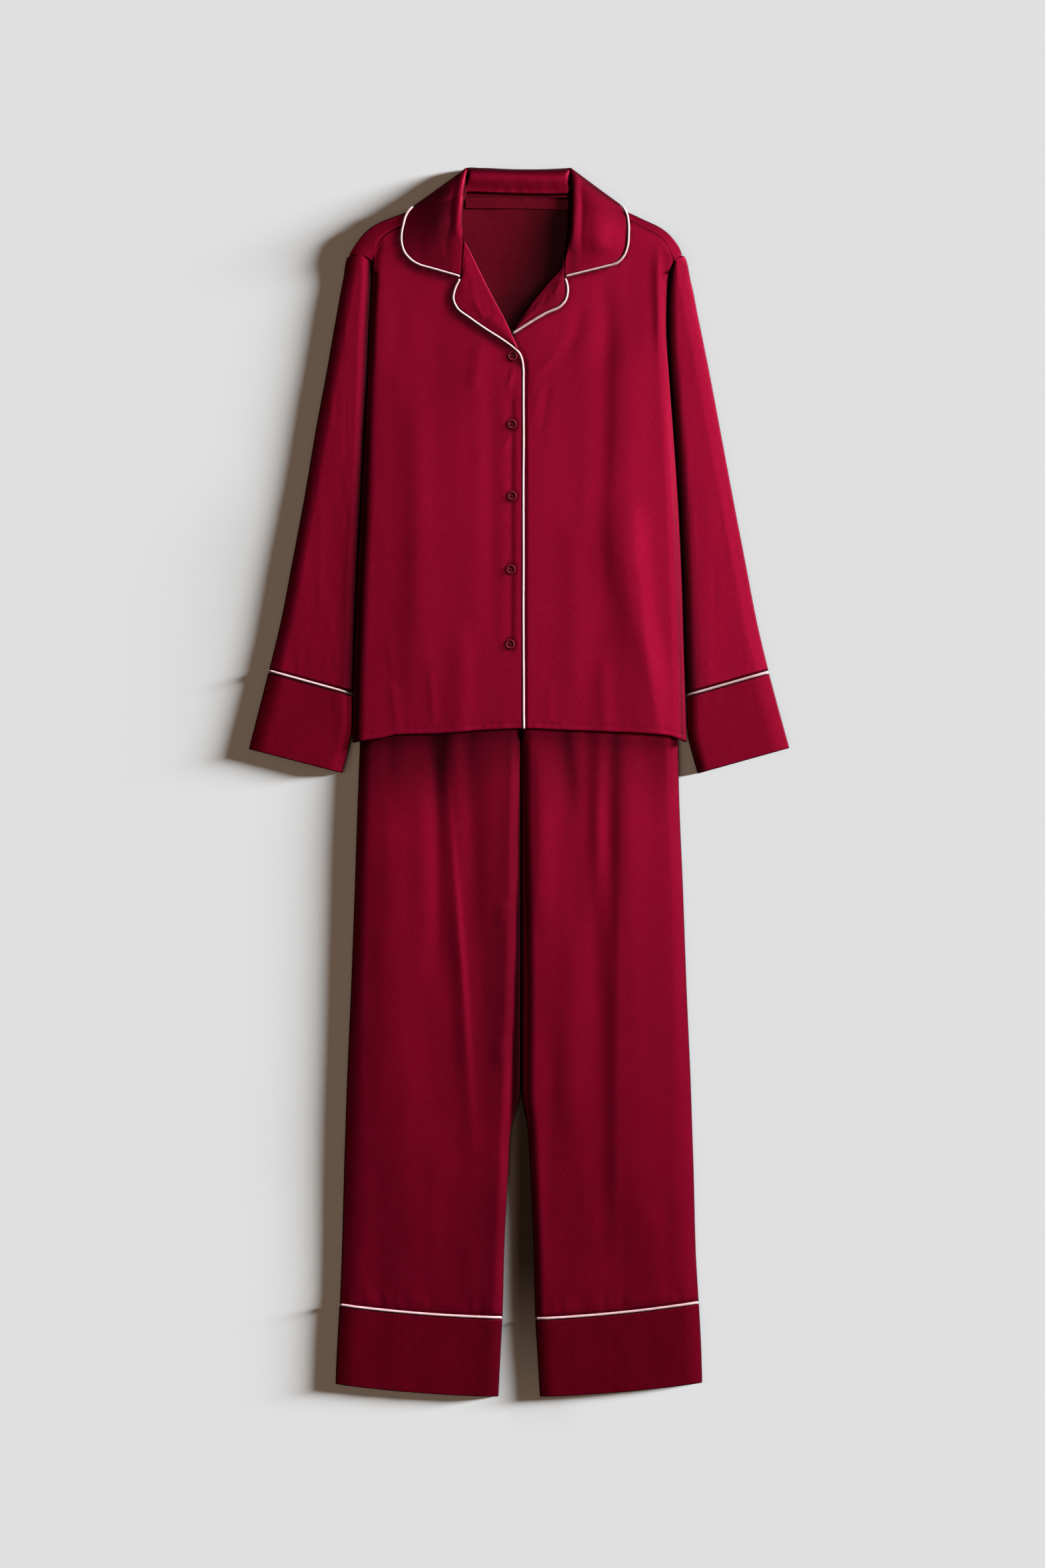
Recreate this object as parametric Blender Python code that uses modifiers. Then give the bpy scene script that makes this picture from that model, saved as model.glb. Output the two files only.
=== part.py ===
"""A two-piece satin pyjama set laid out flat, the shirt lying over the trousers.

Sizes are in millimetres until a piece becomes a mesh, which is in metres.
X runs across the set towards the wearer's left, Y runs up it from the trouser
cuffs to the collar, and Z points up from the surface that it lies on.
"Right" and "left" are the wearer's, so the right side is at negative X.
"""

import math
from collections import namedtuple

import bpy
import numpy as np

MM = 0.001
CENTRE_X = -0.25
CENTRE_Y = 0.217

# ---- Cloth and seams --------------------------------------------------------
CLOTH = 1.6
SEAM = 0.3
CLEAR = 0.5
PIPING_RADIUS = 1.45
PIPING_INSET = PIPING_RADIUS + SEAM
PIPING_TURN_INSET = PIPING_INSET + 1.2
LEG_CLEAR = 0.4
CURL_STEPS = 5
CURL_TAIL = 1.6
TOUCHING = 0.25

# ---- Loft of the laid tubes -------------------------------------------------
SHIRT_FOLD = 2.4
SHIRT_RISE = 1.7
TROUSER_FOLD = 2.0
TROUSER_RISE = 2.4
LEDGE_FOLD = 1.9
LEDGE_REACH = 10.0
RIGHT_SIDE_REACH = 26.0
LEFT_SIDE_REACH = 9.0
SHOULDER_REACH = 20.0
CENTRE_VALLEY = 1.2
SLEEVE_FOLD = 2.1
SLEEVE_INNER_FOLD = 2.7
SLEEVE_HEIGHT = 6.8
CUFF_FOLD = 2.3
CUFF_HEIGHT = 7.0
TROUSER_CUFF_HEIGHT = 6.6
WAIST_HEIGHT = 5.2

# ---- Where the shirt lies ---------------------------------------------------
OVER_TROUSERS = 7.7
EDGE_DROOP = 3.6
DROOP_REACH = 30.0
TROUSERS_END = 345.0
CHEST_FLAT = 392.0
NECK_LIFT = 3.0
NECK_START = 560.0
NECK_FULL = 625.0
ARMHOLE_Y = 586.0
OVERLAP_DIP = 2.7

# ---- Trousers ---------------------------------------------------------------
WAIST_TOP = 330.0
WAIST_SEAM = 292.0
CROTCH_Y = 28.0
CENTRE_FLAT_Y = 68.0
CROTCH_EASE = 1.0

# ---- Buttons ----------------------------------------------------------------
BUTTON_RADIUS = 5.6
BUTTON_HEIGHT = 2.0
BUTTON_RIM = 1.1
BUTTON_DISH = 0.5
BUTTON_SIDES = 20

Edge = namedtuple("Edge", "y x")
Across = namedtuple("Across", "x y")
Leg = namedtuple("Leg", "y outer tip ledge ridge")
Seam = namedtuple("Seam", "outer_x outer_y inner_x inner_y")
Station = namedtuple("Station", "roll_x roll_y edge_x edge_y seam_x seam_y lay lift fold")
Turn = namedtuple("Turn", "roll_x roll_y edge_x edge_y")
Finish = namedtuple("Finish", "name colour roughness metallic")

SATIN = Finish("burgundy_satin", (0.21, 0.004, 0.02, 1.0), 0.34, 0.0)
SATIN_INSIDE = Finish("burgundy_satin_inside", (0.13, 0.003, 0.015, 1.0), 0.6, 0.0)
PIPING = Finish("blush_piping", (0.85, 0.55, 0.58, 1.0), 0.5, 0.0)
BUTTON = Finish("wine_button", (0.12, 0.012, 0.022, 1.0), 0.3, 0.0)

# The two side edges of the shirt body, from the hem up to the armhole.
BODY_RIGHT = [
    Edge(40.0, -188.4), Edge(130.0, -186.2), Edge(230.0, -182.6), Edge(302.0, -178.8),
    Edge(392.0, -174.4), Edge(450.0, -171.8), Edge(512.0, -169.4), Edge(560.0, -167.0),
    Edge(575.0, -166.6), Edge(587.0, -165.8), Edge(640.0, -165.8),
]
BODY_LEFT = [
    Edge(40.0, 188.9), Edge(130.0, 186.1), Edge(230.0, 183.0), Edge(302.0, 179.7),
    Edge(392.0, 173.9), Edge(450.0, 169.7), Edge(512.0, 166.2), Edge(560.0, 167.4),
    Edge(575.0, 170.0), Edge(586.0, 174.2), Edge(640.0, 174.2),
]
HEM = [
    Across(-188.0, 44.3), Across(-156.0, 48.8), Across(-140.0, 52.5), Across(-93.0, 53.7),
    Across(-35.0, 58.0), Across(8.0, 59.5), Across(46.0, 57.9), Across(130.0, 54.4),
    Across(168.0, 51.5), Across(189.0, 44.7),
]
# The shoulder fold, which is the outline at the top of the body.
SHOULDER = [
    Across(-192.3, 592.5), Across(-184.7, 605.3), Across(-172.0, 620.3), Across(-160.0, 628.5),
    Across(-145.0, 634.9), Across(-124.9, 642.0), Across(-90.0, 651.0), Across(-62.5, 660.5),
    Across(57.0, 658.5), Across(90.0, 650.0), Across(110.0, 644.0), Across(120.5, 641.6),
    Across(140.0, 633.0), Across(157.3, 624.8), Across(167.8, 617.3), Across(174.5, 609.8),
    Across(179.8, 602.3), Across(183.3, 594.0),
]
# Where the back, cut over the shoulder, is sewn to each front.
FORWARD_SEAM = [
    Across(-166.0, 586.4), Across(-160.5, 603.5), Across(-153.2, 613.5), Across(-133.7, 626.0),
    Across(-124.7, 631.0), Across(-90.0, 643.5), Across(-66.0, 652.5), Across(61.0, 650.0),
    Across(90.0, 642.0), Across(124.1, 631.5), Across(142.3, 622.5), Across(156.8, 613.5),
    Across(166.0, 603.0), Across(174.4, 586.0),
]
# Top of each sleeve, along the armhole seam.
ARMHOLE = [
    Across(-192.3, 591.2), Across(-181.7, 593.0), Across(-172.7, 589.4), Across(-166.0, 585.4),
    Across(171.2, 576.5), Across(175.2, 584.8), Across(177.5, 588.8), Across(183.6, 592.4),
]
# The visible neck fold of each front, from the bottom of the V up, and the
# neck seam above it, which the collar hides.
RIGHT_NECK = [
    Edge(300.0, 3.25), Edge(462.0, 3.25), Edge(484.0, -4.0), Edge(505.5, -12.2),
    Edge(527.3, -23.2), Edge(554.3, -37.8), Edge(583.5, -52.4), Edge(606.0, -64.0),
    Edge(618.0, -70.5), Edge(636.0, -74.5), Edge(652.5, -66.0),
]
LEFT_NECK = [
    Edge(300.0, -16.0), Edge(470.0, -16.0), Edge(494.0, -11.0), Edge(508.0, -4.0),
    Edge(518.3, 3.0), Edge(535.5, 14.6), Edge(561.0, 34.8), Edge(579.8, 52.4),
    Edge(590.0, 56.0), Edge(606.0, 62.0), Edge(630.0, 69.0), Edge(650.0, 61.0),
]
# Each leg by height: outer fold, inner fold, width of the low ledge of cloth
# inside it, and the crest of the fold that runs down from the waist gathers.
RIGHT_LEG = [
    Leg(-700.0, -208.0, -24.0, 0.0, -62.0), Leg(-603.0, -202.9, -18.9, 0.0, -57.0),
    Leg(-523.0, -199.9, -16.7, 0.0, -53.0), Leg(-433.0, -197.5, -12.2, 0.0, -49.0),
    Leg(-395.0, -196.2, -10.1, 0.2, -49.0), Leg(-343.0, -194.5, 0.8, 9.2, -51.0),
    Leg(-230.0, -189.6, 1.2, 6.0, -58.0), Leg(-118.0, -185.5, 1.4, 3.1, -65.0),
    Leg(-28.0, -182.5, 1.5, 1.0, -70.0), Leg(60.0, -179.0, 1.5, 0.0, -75.0),
    Leg(140.0, -175.0, 1.5, 0.0, -77.0), Leg(220.0, -168.0, 1.5, 0.0, -78.0),
    Leg(330.0, -158.0, 1.5, 0.0, -78.0),
]
LEFT_LEG = [
    Leg(-700.0, 207.0, 23.4, 0.0, 122.0), Leg(-603.0, 203.0, 17.8, 0.0, 118.0),
    Leg(-523.0, 198.6, 15.8, 0.0, 115.0), Leg(-433.0, 196.3, 11.8, 0.0, 112.0),
    Leg(-395.0, 195.0, 9.6, 0.2, 110.0), Leg(-343.0, 193.3, 1.8, 4.0, 107.0),
    Leg(-230.0, 188.4, 1.8, 4.7, 102.0), Leg(-118.0, 184.3, 1.6, 2.9, 97.0),
    Leg(-28.0, 180.5, 1.5, 1.1, 93.0), Leg(60.0, 178.0, 1.5, 0.0, 91.0),
    Leg(140.0, 174.0, 1.5, 0.0, 90.0), Leg(220.0, 167.0, 1.5, 0.0, 90.0),
    Leg(330.0, 157.0, 1.5, 0.0, 90.0),
]
LEG_ROWS = [0.0, 0.14, 0.26, 0.3, 0.38, 0.5, 0.62, 0.7, 0.755, 0.79, 0.85, 0.93, 1.0]
BACK_ROWS = [0.0, 0.14, 0.26, 0.3, 0.38, 0.5, 0.62, 0.7, 0.755, 0.79, 1.0]

# Rows of seam lines across each sleeve, from the armhole down to the cuff.
RIGHT_SLEEVE = [
    Seam(-192.6, 590.6, -166.4, 585.0), Seam(-198.4, 567.0, -167.25, 560.0),
    Seam(-207.2, 519.8, -169.65, 512.0), Seam(-217.7, 459.8, -172.05, 450.0),
    Seam(-228.0, 405.0, -174.65, 392.0), Seam(-243.0, 317.0, -179.05, 302.0),
    Seam(-256.0, 248.0, -182.85, 230.0), Seam(-270.0, 176.0, -185.7, 154.0),
    Seam(-281.8, 127.0, -187.2, 100.8),
]
LEFT_SLEEVE = [
    Seam(183.8, 592.0, 171.4, 575.8), Seam(190.8, 572.0, 168.0, 560.0),
    Seam(201.6, 523.0, 166.55, 512.0), Seam(213.8, 462.8, 169.95, 450.0),
    Seam(224.6, 406.0, 174.15, 392.0), Seam(241.1, 318.0, 179.95, 302.0),
    Seam(254.4, 249.0, 183.25, 230.0), Seam(269.5, 172.0, 185.75, 148.0),
    Seam(280.6, 125.6, 187.6, 99.0),
]
RIGHT_CUFF = [Seam(-282.9, 123.2, -187.8, 97.0), Seam(-294.5, 78.0, -188.6, 55.0),
              Seam(-304.8, 37.0, -199.7, 9.8)]
LEFT_CUFF = [Seam(281.4, 122.0, 188.2, 95.3), Seam(293.5, 77.0, 190.2, 50.0),
             Seam(304.3, 38.2, 200.8, 9.3)]
RIGHT_CUFF_PIPING = Seam(-282.3, 125.1, -187.5, 98.9)
LEFT_CUFF_PIPING = Seam(281.0, 123.8, 187.9, 97.2)
RIGHT_TROUSER_CUFF = [Seam(-202.8, -590.4, -19.0, -604.8), Seam(-205.4, -635.0, -21.4, -650.0),
                      Seam(-207.3, -678.0, -23.5, -692.2)]
LEFT_TROUSER_CUFF = [Seam(202.4, -587.6, 17.9, -606.2), Seam(204.8, -633.0, 20.6, -649.5),
                     Seam(206.2, -676.5, 23.0, -692.2)]
RIGHT_TROUSER_PIPING = Seam(-202.7, -588.6, -18.9, -603.0)
LEFT_TROUSER_PIPING = Seam(202.3, -585.8, 17.8, -604.4)
TROUSER_SEAM_BOW = -2.6
WAISTBAND = [Seam(-160.8, WAIST_SEAM + SEAM, 159.8, WAIST_SEAM + SEAM),
             Seam(-158.6, 311.0, 157.6, 311.0), Seam(-157.8, WAIST_TOP, 156.8, WAIST_TOP)]

# Stations round the collar from the right notch, round the back of the neck, to
# the left notch.  lay is 1 where the fall lies on a front and -1 where it lies
# under the back; lift is how far the rolled edge stands above the outer edge;
# fold is 0 along the gorge, where the collar is one flat layer sewn to the
# lapel, and 1 where the stand is folded beneath the fall.
COLLAR = [
    Station(-66.4, 570.4, -111.9, 583.3, -66.4, 570.4, 1.0, 0.0, 0.0),
    Station(-65.6, 581.0, -119.9, 587.9, -65.6, 581.0, 1.0, 0.3, 0.0),
    Station(-65.0, 593.0, -127.6, 596.3, -65.0, 593.0, 1.0, 0.8, 0.0),
    Station(-64.4, 607.0, -131.0, 607.6, -64.4, 607.0, 1.0, 1.6, 0.0),
    Station(-63.4, 617.5, -130.9, 616.8, -66.5, 617.5, 1.0, 2.4, 0.6),
    Station(-63.2, 630.0, -129.0, 626.4, -71.2, 630.0, 1.0, 3.0, 1.0),
    Station(-62.6, 650.0, -126.4, 635.6, -65.4, 646.0, 1.0, 3.0, 1.0),
    Station(-61.8, 665.0, -123.6, 641.0, -61.3, 655.5, 0.9, 3.0, 1.0),
    Station(-60.6, 680.0, -119.6, 645.6, -60.5, 660.0, 0.6, 2.4, 1.0),
    Station(-58.9, 691.6, -117.0, 649.0, -61.6, 662.0, 0.0, 0.0, 1.0),
    Station(-56.6, 692.2, -113.6, 647.4, -60.4, 662.4, -0.6, 0.0, 1.0),
    Station(-53.0, 692.4, -103.0, 642.5, -57.0, 662.6, -1.0, 0.0, 1.0),
    Station(-44.0, 692.1, -82.0, 632.0, -46.0, 662.2, -1.0, 0.0, 1.0),
    Station(-22.0, 691.2, -36.0, 629.0, -22.0, 661.4, -1.0, 0.0, 1.0),
    Station(0.0, 690.6, 0.0, 628.0, 0.0, 660.8, -1.0, 0.0, 1.0),
    Station(22.0, 690.6, 35.0, 629.0, 21.0, 660.4, -1.0, 0.0, 1.0),
    Station(43.0, 691.0, 80.0, 632.0, 42.0, 660.2, -1.0, 0.0, 1.0),
    Station(51.6, 691.4, 99.0, 642.5, 52.0, 660.4, -1.0, 0.0, 1.0),
    Station(55.2, 691.5, 109.0, 648.6, 55.2, 660.6, -0.6, 0.0, 1.0),
    Station(57.4, 691.2, 112.4, 650.2, 56.4, 660.6, 0.0, 0.0, 1.0),
    Station(57.8, 680.0, 114.8, 646.8, 55.1, 659.2, 0.6, 2.4, 1.0),
    Station(57.1, 665.0, 117.2, 642.2, 55.4, 654.5, 0.9, 3.0, 1.0),
    Station(56.5, 651.0, 119.4, 637.0, 59.4, 646.5, 1.0, 3.0, 1.0),
    Station(56.0, 636.0, 120.6, 629.5, 64.0, 633.0, 1.0, 3.0, 1.0),
    Station(54.9, 617.0, 120.9, 616.1, 64.2, 617.0, 1.0, 2.6, 1.0),
    Station(53.0, 602.0, 119.7, 602.6, 56.0, 602.0, 1.0, 1.8, 0.6),
    Station(51.9, 591.0, 116.3, 593.4, 51.9, 591.0, 1.0, 1.0, 0.0),
    Station(50.8, 580.0, 109.5, 585.8, 50.8, 580.0, 1.0, 0.4, 0.0),
    Station(51.0, 570.3, 94.5, 580.9, 51.0, 570.3, 1.0, 0.0, 0.0),
]
UNDER_SIDE_START = 9
UNDER_SIDE_END = 19

# Each lapel from the gorge seam down to its lower tip.
RIGHT_LAPEL = [
    Turn(-62.4, 610.0, -65.0, 569.0), Turn(-56.0, 598.5, -65.6, 565.5),
    Turn(-50.0, 587.0, -71.0, 553.8), Turn(-43.0, 573.0, -72.8, 543.7),
    Turn(-36.0, 559.0, -69.6, 535.5), Turn(-27.5, 543.0, -54.4, 523.0),
    Turn(-18.5, 526.3, -36.2, 510.4), Turn(-10.8, 510.5, -20.0, 500.1),
    Turn(-5.8, 499.0, -10.4, 493.4),
]
LEFT_LAPEL = [
    Turn(50.2, 591.0, 50.0, 570.0), Turn(47.3, 579.5, 49.8, 566.5),
    Turn(40.0, 571.0, 51.9, 559.3), Turn(32.0, 562.6, 52.0, 549.2),
    Turn(25.0, 554.0, 50.3, 543.2), Turn(18.5, 546.0, 46.7, 538.3),
    Turn(11.0, 536.5, 26.6, 527.6), Turn(5.0, 527.6, 13.0, 520.4),
]
FRONT_PIPING = [
    Across(-67.3, 565.6), Across(-72.7, 554.3), Across(-74.5, 543.5), Across(-70.9, 534.3),
    Across(-55.4, 521.6), Across(-37.2, 508.9), Across(-19.0, 497.3), Across(-6.3, 488.0),
    Across(0.0, 482.2), Across(3.6, 474.0), Across(5.0, 463.0), Across(5.0, 450.0),
    Across(5.0, 392.0), Across(5.0, 368.0), Across(5.0, 345.0), Across(5.0, 302.0),
    Across(5.0, 230.0), Across(5.0, 175.0), Across(5.1, 130.0), Across(5.3, 85.0),
    Across(5.6, 60.0),
]
LEFT_PIPING = [
    Across(51.6, 566.0), Across(53.6, 559.5), Across(53.8, 549.0), Across(51.9, 542.5),
    Across(47.6, 536.7), Across(27.5, 526.1), Across(12.0, 517.0), Across(-3.2, 507.4),
]
BUTTONS = [
    Across(-8.0, 479.2), Across(-8.6, 402.1), Across(-8.5, 321.2), Across(-9.9, 238.7),
    Across(-10.7, 154.6),
]
FRONT_ROWS = [85.0, 130.0, 175.0, 230.0, 302.0, 345.0, 368.0, 392.0, 450.0, 484.0, 512.0,
              540.0, 558.0, 570.0]
FRONT_TOP_ROWS = [0.12, 0.4, 0.7, 1.0]
RIGHT_COLUMNS = [(0.07, 0.0), (0.16, 0.0), (0.3, 0.0), (0.45, 0.0), (0.6, 0.0), (0.75, 0.0),
                 (0.88, 0.0), (1.0, 0.0)]
LEFT_COLUMNS = [(0.05, 36.0), (0.11, 36.0), (0.2, 36.0), (0.3, 36.0), (0.45, 36.0), (0.62, 36.0),
                (0.8, 36.0), (1.0, 36.0), (1.0, 24.5), (1.0, 12.0), (1.0, 0.0)]
BODY_BACK_ROWS = [0.0, 130.0, 230.0, 345.0, 368.0, 392.0, 450.0, 512.0, 540.0, 558.0,
                  570.0]
# Columns of the back over the shoulders: at each armhole, and between them.
RIGHT_ARM_COLUMNS = [-190.8, -181.7, -172.7, -165.7]
SHOULDER_COLUMNS = [-160.5, -153.2, -133.7, -124.7, -90.0, -63.0, 0.0, 57.5, 90.0, 124.1, 142.3,
                    156.8, 166.0]
LEFT_ARM_COLUMNS = [174.0, 177.5, 180.6, 182.6]
NECK_COLUMNS = (-63.0, 57.5)
SEAM_NECK = {-63.0: -65.4, 57.5: 60.4}
BACK_COLUMNS = [0.0, 0.08, 0.19, 0.3, 0.47, 0.62, 0.78, 0.9, 1.0]


# ---- Numbers ---------------------------------------------------------------

def read(table, key):
    """The second column of a table at a value of its first column."""
    return float(np.interp(key, [row[0] for row in table], [row[1] for row in table]))


def read_leg(table, y, column):
    """One named column of a leg's table at a height y."""
    return float(np.interp(y, [row.y for row in table], [getattr(row, column) for row in table]))


def ramp(value, start, end):
    """0 before start, 1 past end, and a smooth step between them."""
    t = min(max((value - start) / (end - start), 0.0), 1.0)
    return t * t * (3.0 - 2.0 * t)


def swell(t):
    """The soft rise of a laid edge: steep at 0 and level from 1 on."""
    t = min(max(t, 0.0), 1.0)
    return 1.0 - (1.0 - t) ** 2


def mix(a, b, t):
    """The value or point a share t of the way from a to b."""
    if isinstance(a, tuple):
        return tuple(mix(p, q, t) for p, q in zip(a, b))
    return a + (b - a) * t


def towards(start, end, distance):
    """The point at a distance from start along the line to end, in the plane."""
    length = math.dist(start[:2], end[:2])
    return tuple(p + (q - p) * distance / length for p, q in zip(start[:2], end[:2]))


def hump(offset, width):
    """A soft ridge across a fold, 1 on its crest."""
    return math.exp(-(offset / width) ** 2)


def curl(radius, turn, tail=0.0):
    """Points down a rounded edge of fixed length, as (distance in from its extreme, drop).

    turn is the angle that the cloth has turned through at its end: pi is a
    whole fold, and 0 leaves the same length of cloth lying flat.  A tail runs
    straight on past the end.
    """
    length = math.pi * radius
    bend = max(turn, 0.02) / length
    steps = np.linspace(0.0, length, CURL_STEPS)
    path = [(math.sin(bend * s) / bend, (1.0 - math.cos(bend * s)) / bend) for s in steps]
    if tail:
        out, drop = path[-1]
        path.append((out + tail * math.cos(turn), drop + tail * math.sin(turn)))
    reach = max(out for out, drop in path)
    return [(reach - out, drop) for out, drop in path]


# ---- Meshes ----------------------------------------------------------------

def new_finish(finish):
    """A plain material with the finish's colour, roughness and metallic value."""
    material = bpy.data.materials.new(finish.name)
    material.use_nodes = True
    shader = material.node_tree.nodes["Principled BSDF"]
    shader.inputs["Base Color"].default_value = finish.colour
    shader.inputs["Roughness"].default_value = finish.roughness
    shader.inputs["Metallic"].default_value = finish.metallic
    material.diffuse_color = finish.colour
    return material


class Cut:
    """The points and faces of one cut piece of cloth, before it has thickness."""

    def __init__(self):
        self.points = []
        self.faces = []

    def row(self, points):
        """Adds a row of points and returns their numbers."""
        first = len(self.points)
        self.points.extend(points)
        return list(range(first, len(self.points)))

    def skin(self, lower, upper):
        """Joins two rows, each running the same way, with quads."""
        for k in range(len(lower) - 1):
            self.faces.append((lower[k], lower[k + 1], upper[k + 1], upper[k]))

    def grid(self, rows):
        """Adds rows of equal length and joins each to the next."""
        numbers = [self.row(row) for row in rows]
        for lower, upper in zip(numbers, numbers[1:]):
            self.skin(lower, upper)
        return numbers


def place_piece(piece, x=0.0, y=0.0, z=0.0):
    """Puts a piece into the set at a place in millimetres, with the set centred on the origin."""
    PARTS.objects.link(piece)
    piece.location = ((x - CENTRE_X) * MM, (y - CENTRE_Y) * MM, z * MM)
    return piece


def add_mesh(name, points, faces, material):
    """A mesh object in metres from points in millimetres."""
    mesh = bpy.data.meshes.new(name)
    mesh.from_pydata([tuple(value * MM for value in point) for point in points], [], faces)
    mesh.materials.append(material)
    mesh.shade_smooth()
    return place_piece(bpy.data.objects.new(name, mesh))


def add_cloth(name, cut, material, flip=False, centred=False):
    """A cut piece with the cloth's thickness, inside its outer face or centred on it."""
    faces = [tuple(reversed(face)) for face in cut.faces] if flip else cut.faces
    piece = add_mesh(name, cut.points, faces, material)
    wall = piece.modifiers.new("Cloth", "SOLIDIFY")
    wall.thickness = CLOTH * MM
    wall.offset = 0.0 if centred else -1.0
    wall.use_even_offset = not centred
    return piece


def add_piping(name, path, material):
    """A round piping cord along a path of points."""
    line = bpy.data.curves.new(name, "CURVE")
    line.dimensions = "3D"
    line.bevel_depth = PIPING_RADIUS * MM
    line.bevel_resolution = 1
    line.use_fill_caps = True
    spline = line.splines.new("POLY")
    spline.points.add(len(path) - 1)
    for point, place in zip(spline.points, path):
        point.co = (place[0] * MM, place[1] * MM, place[2] * MM, 1.0)
    line.materials.append(material)
    return place_piece(bpy.data.objects.new(name, line))


# ---- Heights of the laid shirt ----------------------------------------------

def side_gaps(x, y):
    """How far a point of the body is from its right and left side folds."""
    past_armhole = 1.2 * max(0.0, y - 572.0)
    return x - read(BODY_RIGHT, y) + past_armhole, read(BODY_LEFT, y) - x + past_armhole


def shirt_floor(x, y):
    """Height of the underside of the shirt: on the trousers, on the floor, or on the collar."""
    over = 1.0 - ramp(y, TROUSERS_END, CHEST_FLAT)
    droop = EDGE_DROOP * (1.0 - swell(min(side_gaps(x, y)) / DROOP_REACH))
    return over * (OVER_TROUSERS - droop) + NECK_LIFT * ramp(y, NECK_START, NECK_FULL)


def front_folds(x, y):
    """Relief of the soft folds on the two fronts."""
    hem_fold = 0.6 * hump(x - mix(171.0, 122.0, ramp(y, 45.0, 230.0)), 15.0)
    hem_fold *= 1.0 - ramp(y, 180.0, 300.0)
    left_pleat = -0.5 * hump(x - 100.0, 16.0) * ramp(y, 60.0, 250.0) * (1.0 - ramp(y, 480.0, 560.0))
    right_pleat = -0.4 * hump(x + 95.0, 18.0) * ramp(y, 120.0, 350.0) * (1.0 - ramp(y, 500.0, 570.0))
    return hem_fold + left_pleat + right_pleat


def shirt_top(x, y):
    """Height of the outer face of the fronts, away from their turned edges."""
    right_gap, left_gap = side_gaps(x, y)
    shoulder_gap = (read(SHOULDER, x) - y) * 0.92
    loft = min(swell((right_gap - SHIRT_FOLD) / RIGHT_SIDE_REACH),
               swell((left_gap - SHIRT_FOLD) / LEFT_SIDE_REACH),
               swell((shoulder_gap - SHIRT_FOLD) / SHOULDER_REACH))
    return shirt_floor(x, y) + 2.0 * SHIRT_FOLD + SHIRT_RISE * loft + front_folds(x, y) * loft


def overlap_dip(x, y):
    """How far the left front sinks to pass beneath the right front."""
    return OVERLAP_DIP * (1.0 - ramp(x, 8.5, 20.0)) * (1.0 - ramp(y, 492.0, 530.0))


# ---- Shirt fronts and back ---------------------------------------------------

def front_row(y_of, side, neck, columns, dip):
    """One row of a front, from its wrapped side fold to its inner edge.

    y_of gives the height of a column from its share of the way across, and each
    column is a share of the way to an offset out from the inner edge.
    """
    edges = BODY_RIGHT if side < 0 else BODY_LEFT
    extreme = read(edges, y_of(0.0)) - side * TOUCHING
    fold = curl(SHIRT_FOLD, math.pi, CURL_TAIL)
    start_x = extreme - side * SHIRT_FOLD
    start_z = shirt_top(start_x, y_of(0.0))
    inner_x = read(neck, y_of(1.0))
    y_fold = y_of(-SHIRT_FOLD / abs(inner_x - start_x))
    row = []
    for inward, drop in reversed(fold):
        y = mix(y_fold, y_of(0.0), inward / SHIRT_FOLD) if drop < SHIRT_FOLD else y_fold
        row.append((extreme - side * inward, y, start_z - drop))
    for share, offset in columns:
        x = mix(start_x, inner_x + side * offset, share)
        y = y_of((x - start_x) / (inner_x - start_x))
        row.append((x, y, shirt_top(x, y) - (overlap_dip(x, y) if dip else 0.0)))
    return row


def make_front(name, side, neck, inner_y, columns, material, dip):
    """A front: hem to armhole in level rows, then fanned up to the forward shoulder seam."""
    rows = []
    edges = BODY_RIGHT if side < 0 else BODY_LEFT
    top_x = (read(edges, ARMHOLE_Y) - side * (TOUCHING + SHIRT_FOLD), read(neck, inner_y))
    hem_x = (side * 188.0, read(neck, 60.0))
    rows.append(front_row(lambda s: read(HEM, mix(*hem_x, s)), side, neck, columns, dip))
    for base in FRONT_ROWS:
        rows.append(front_row(lambda s: base, side, neck, columns, dip))
    last = FRONT_ROWS[-1]
    for rise in FRONT_TOP_ROWS:
        def height(share):
            return mix(last, read(FORWARD_SEAM, mix(*top_x, share)) - SEAM, rise)
        rows.append(front_row(height, side, neck, columns, dip))
    cut = Cut()
    cut.grid(rows)
    return add_cloth(name, cut, material, flip=side > 0)


def back_edge(side, y):
    """Side edge of the flat back, which stops where the wrapped front begins."""
    edges = BODY_RIGHT if side < 0 else BODY_LEFT
    return read(edges, y) - side * (SHIRT_FOLD + CURL_TAIL + SEAM + TOUCHING)


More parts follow.
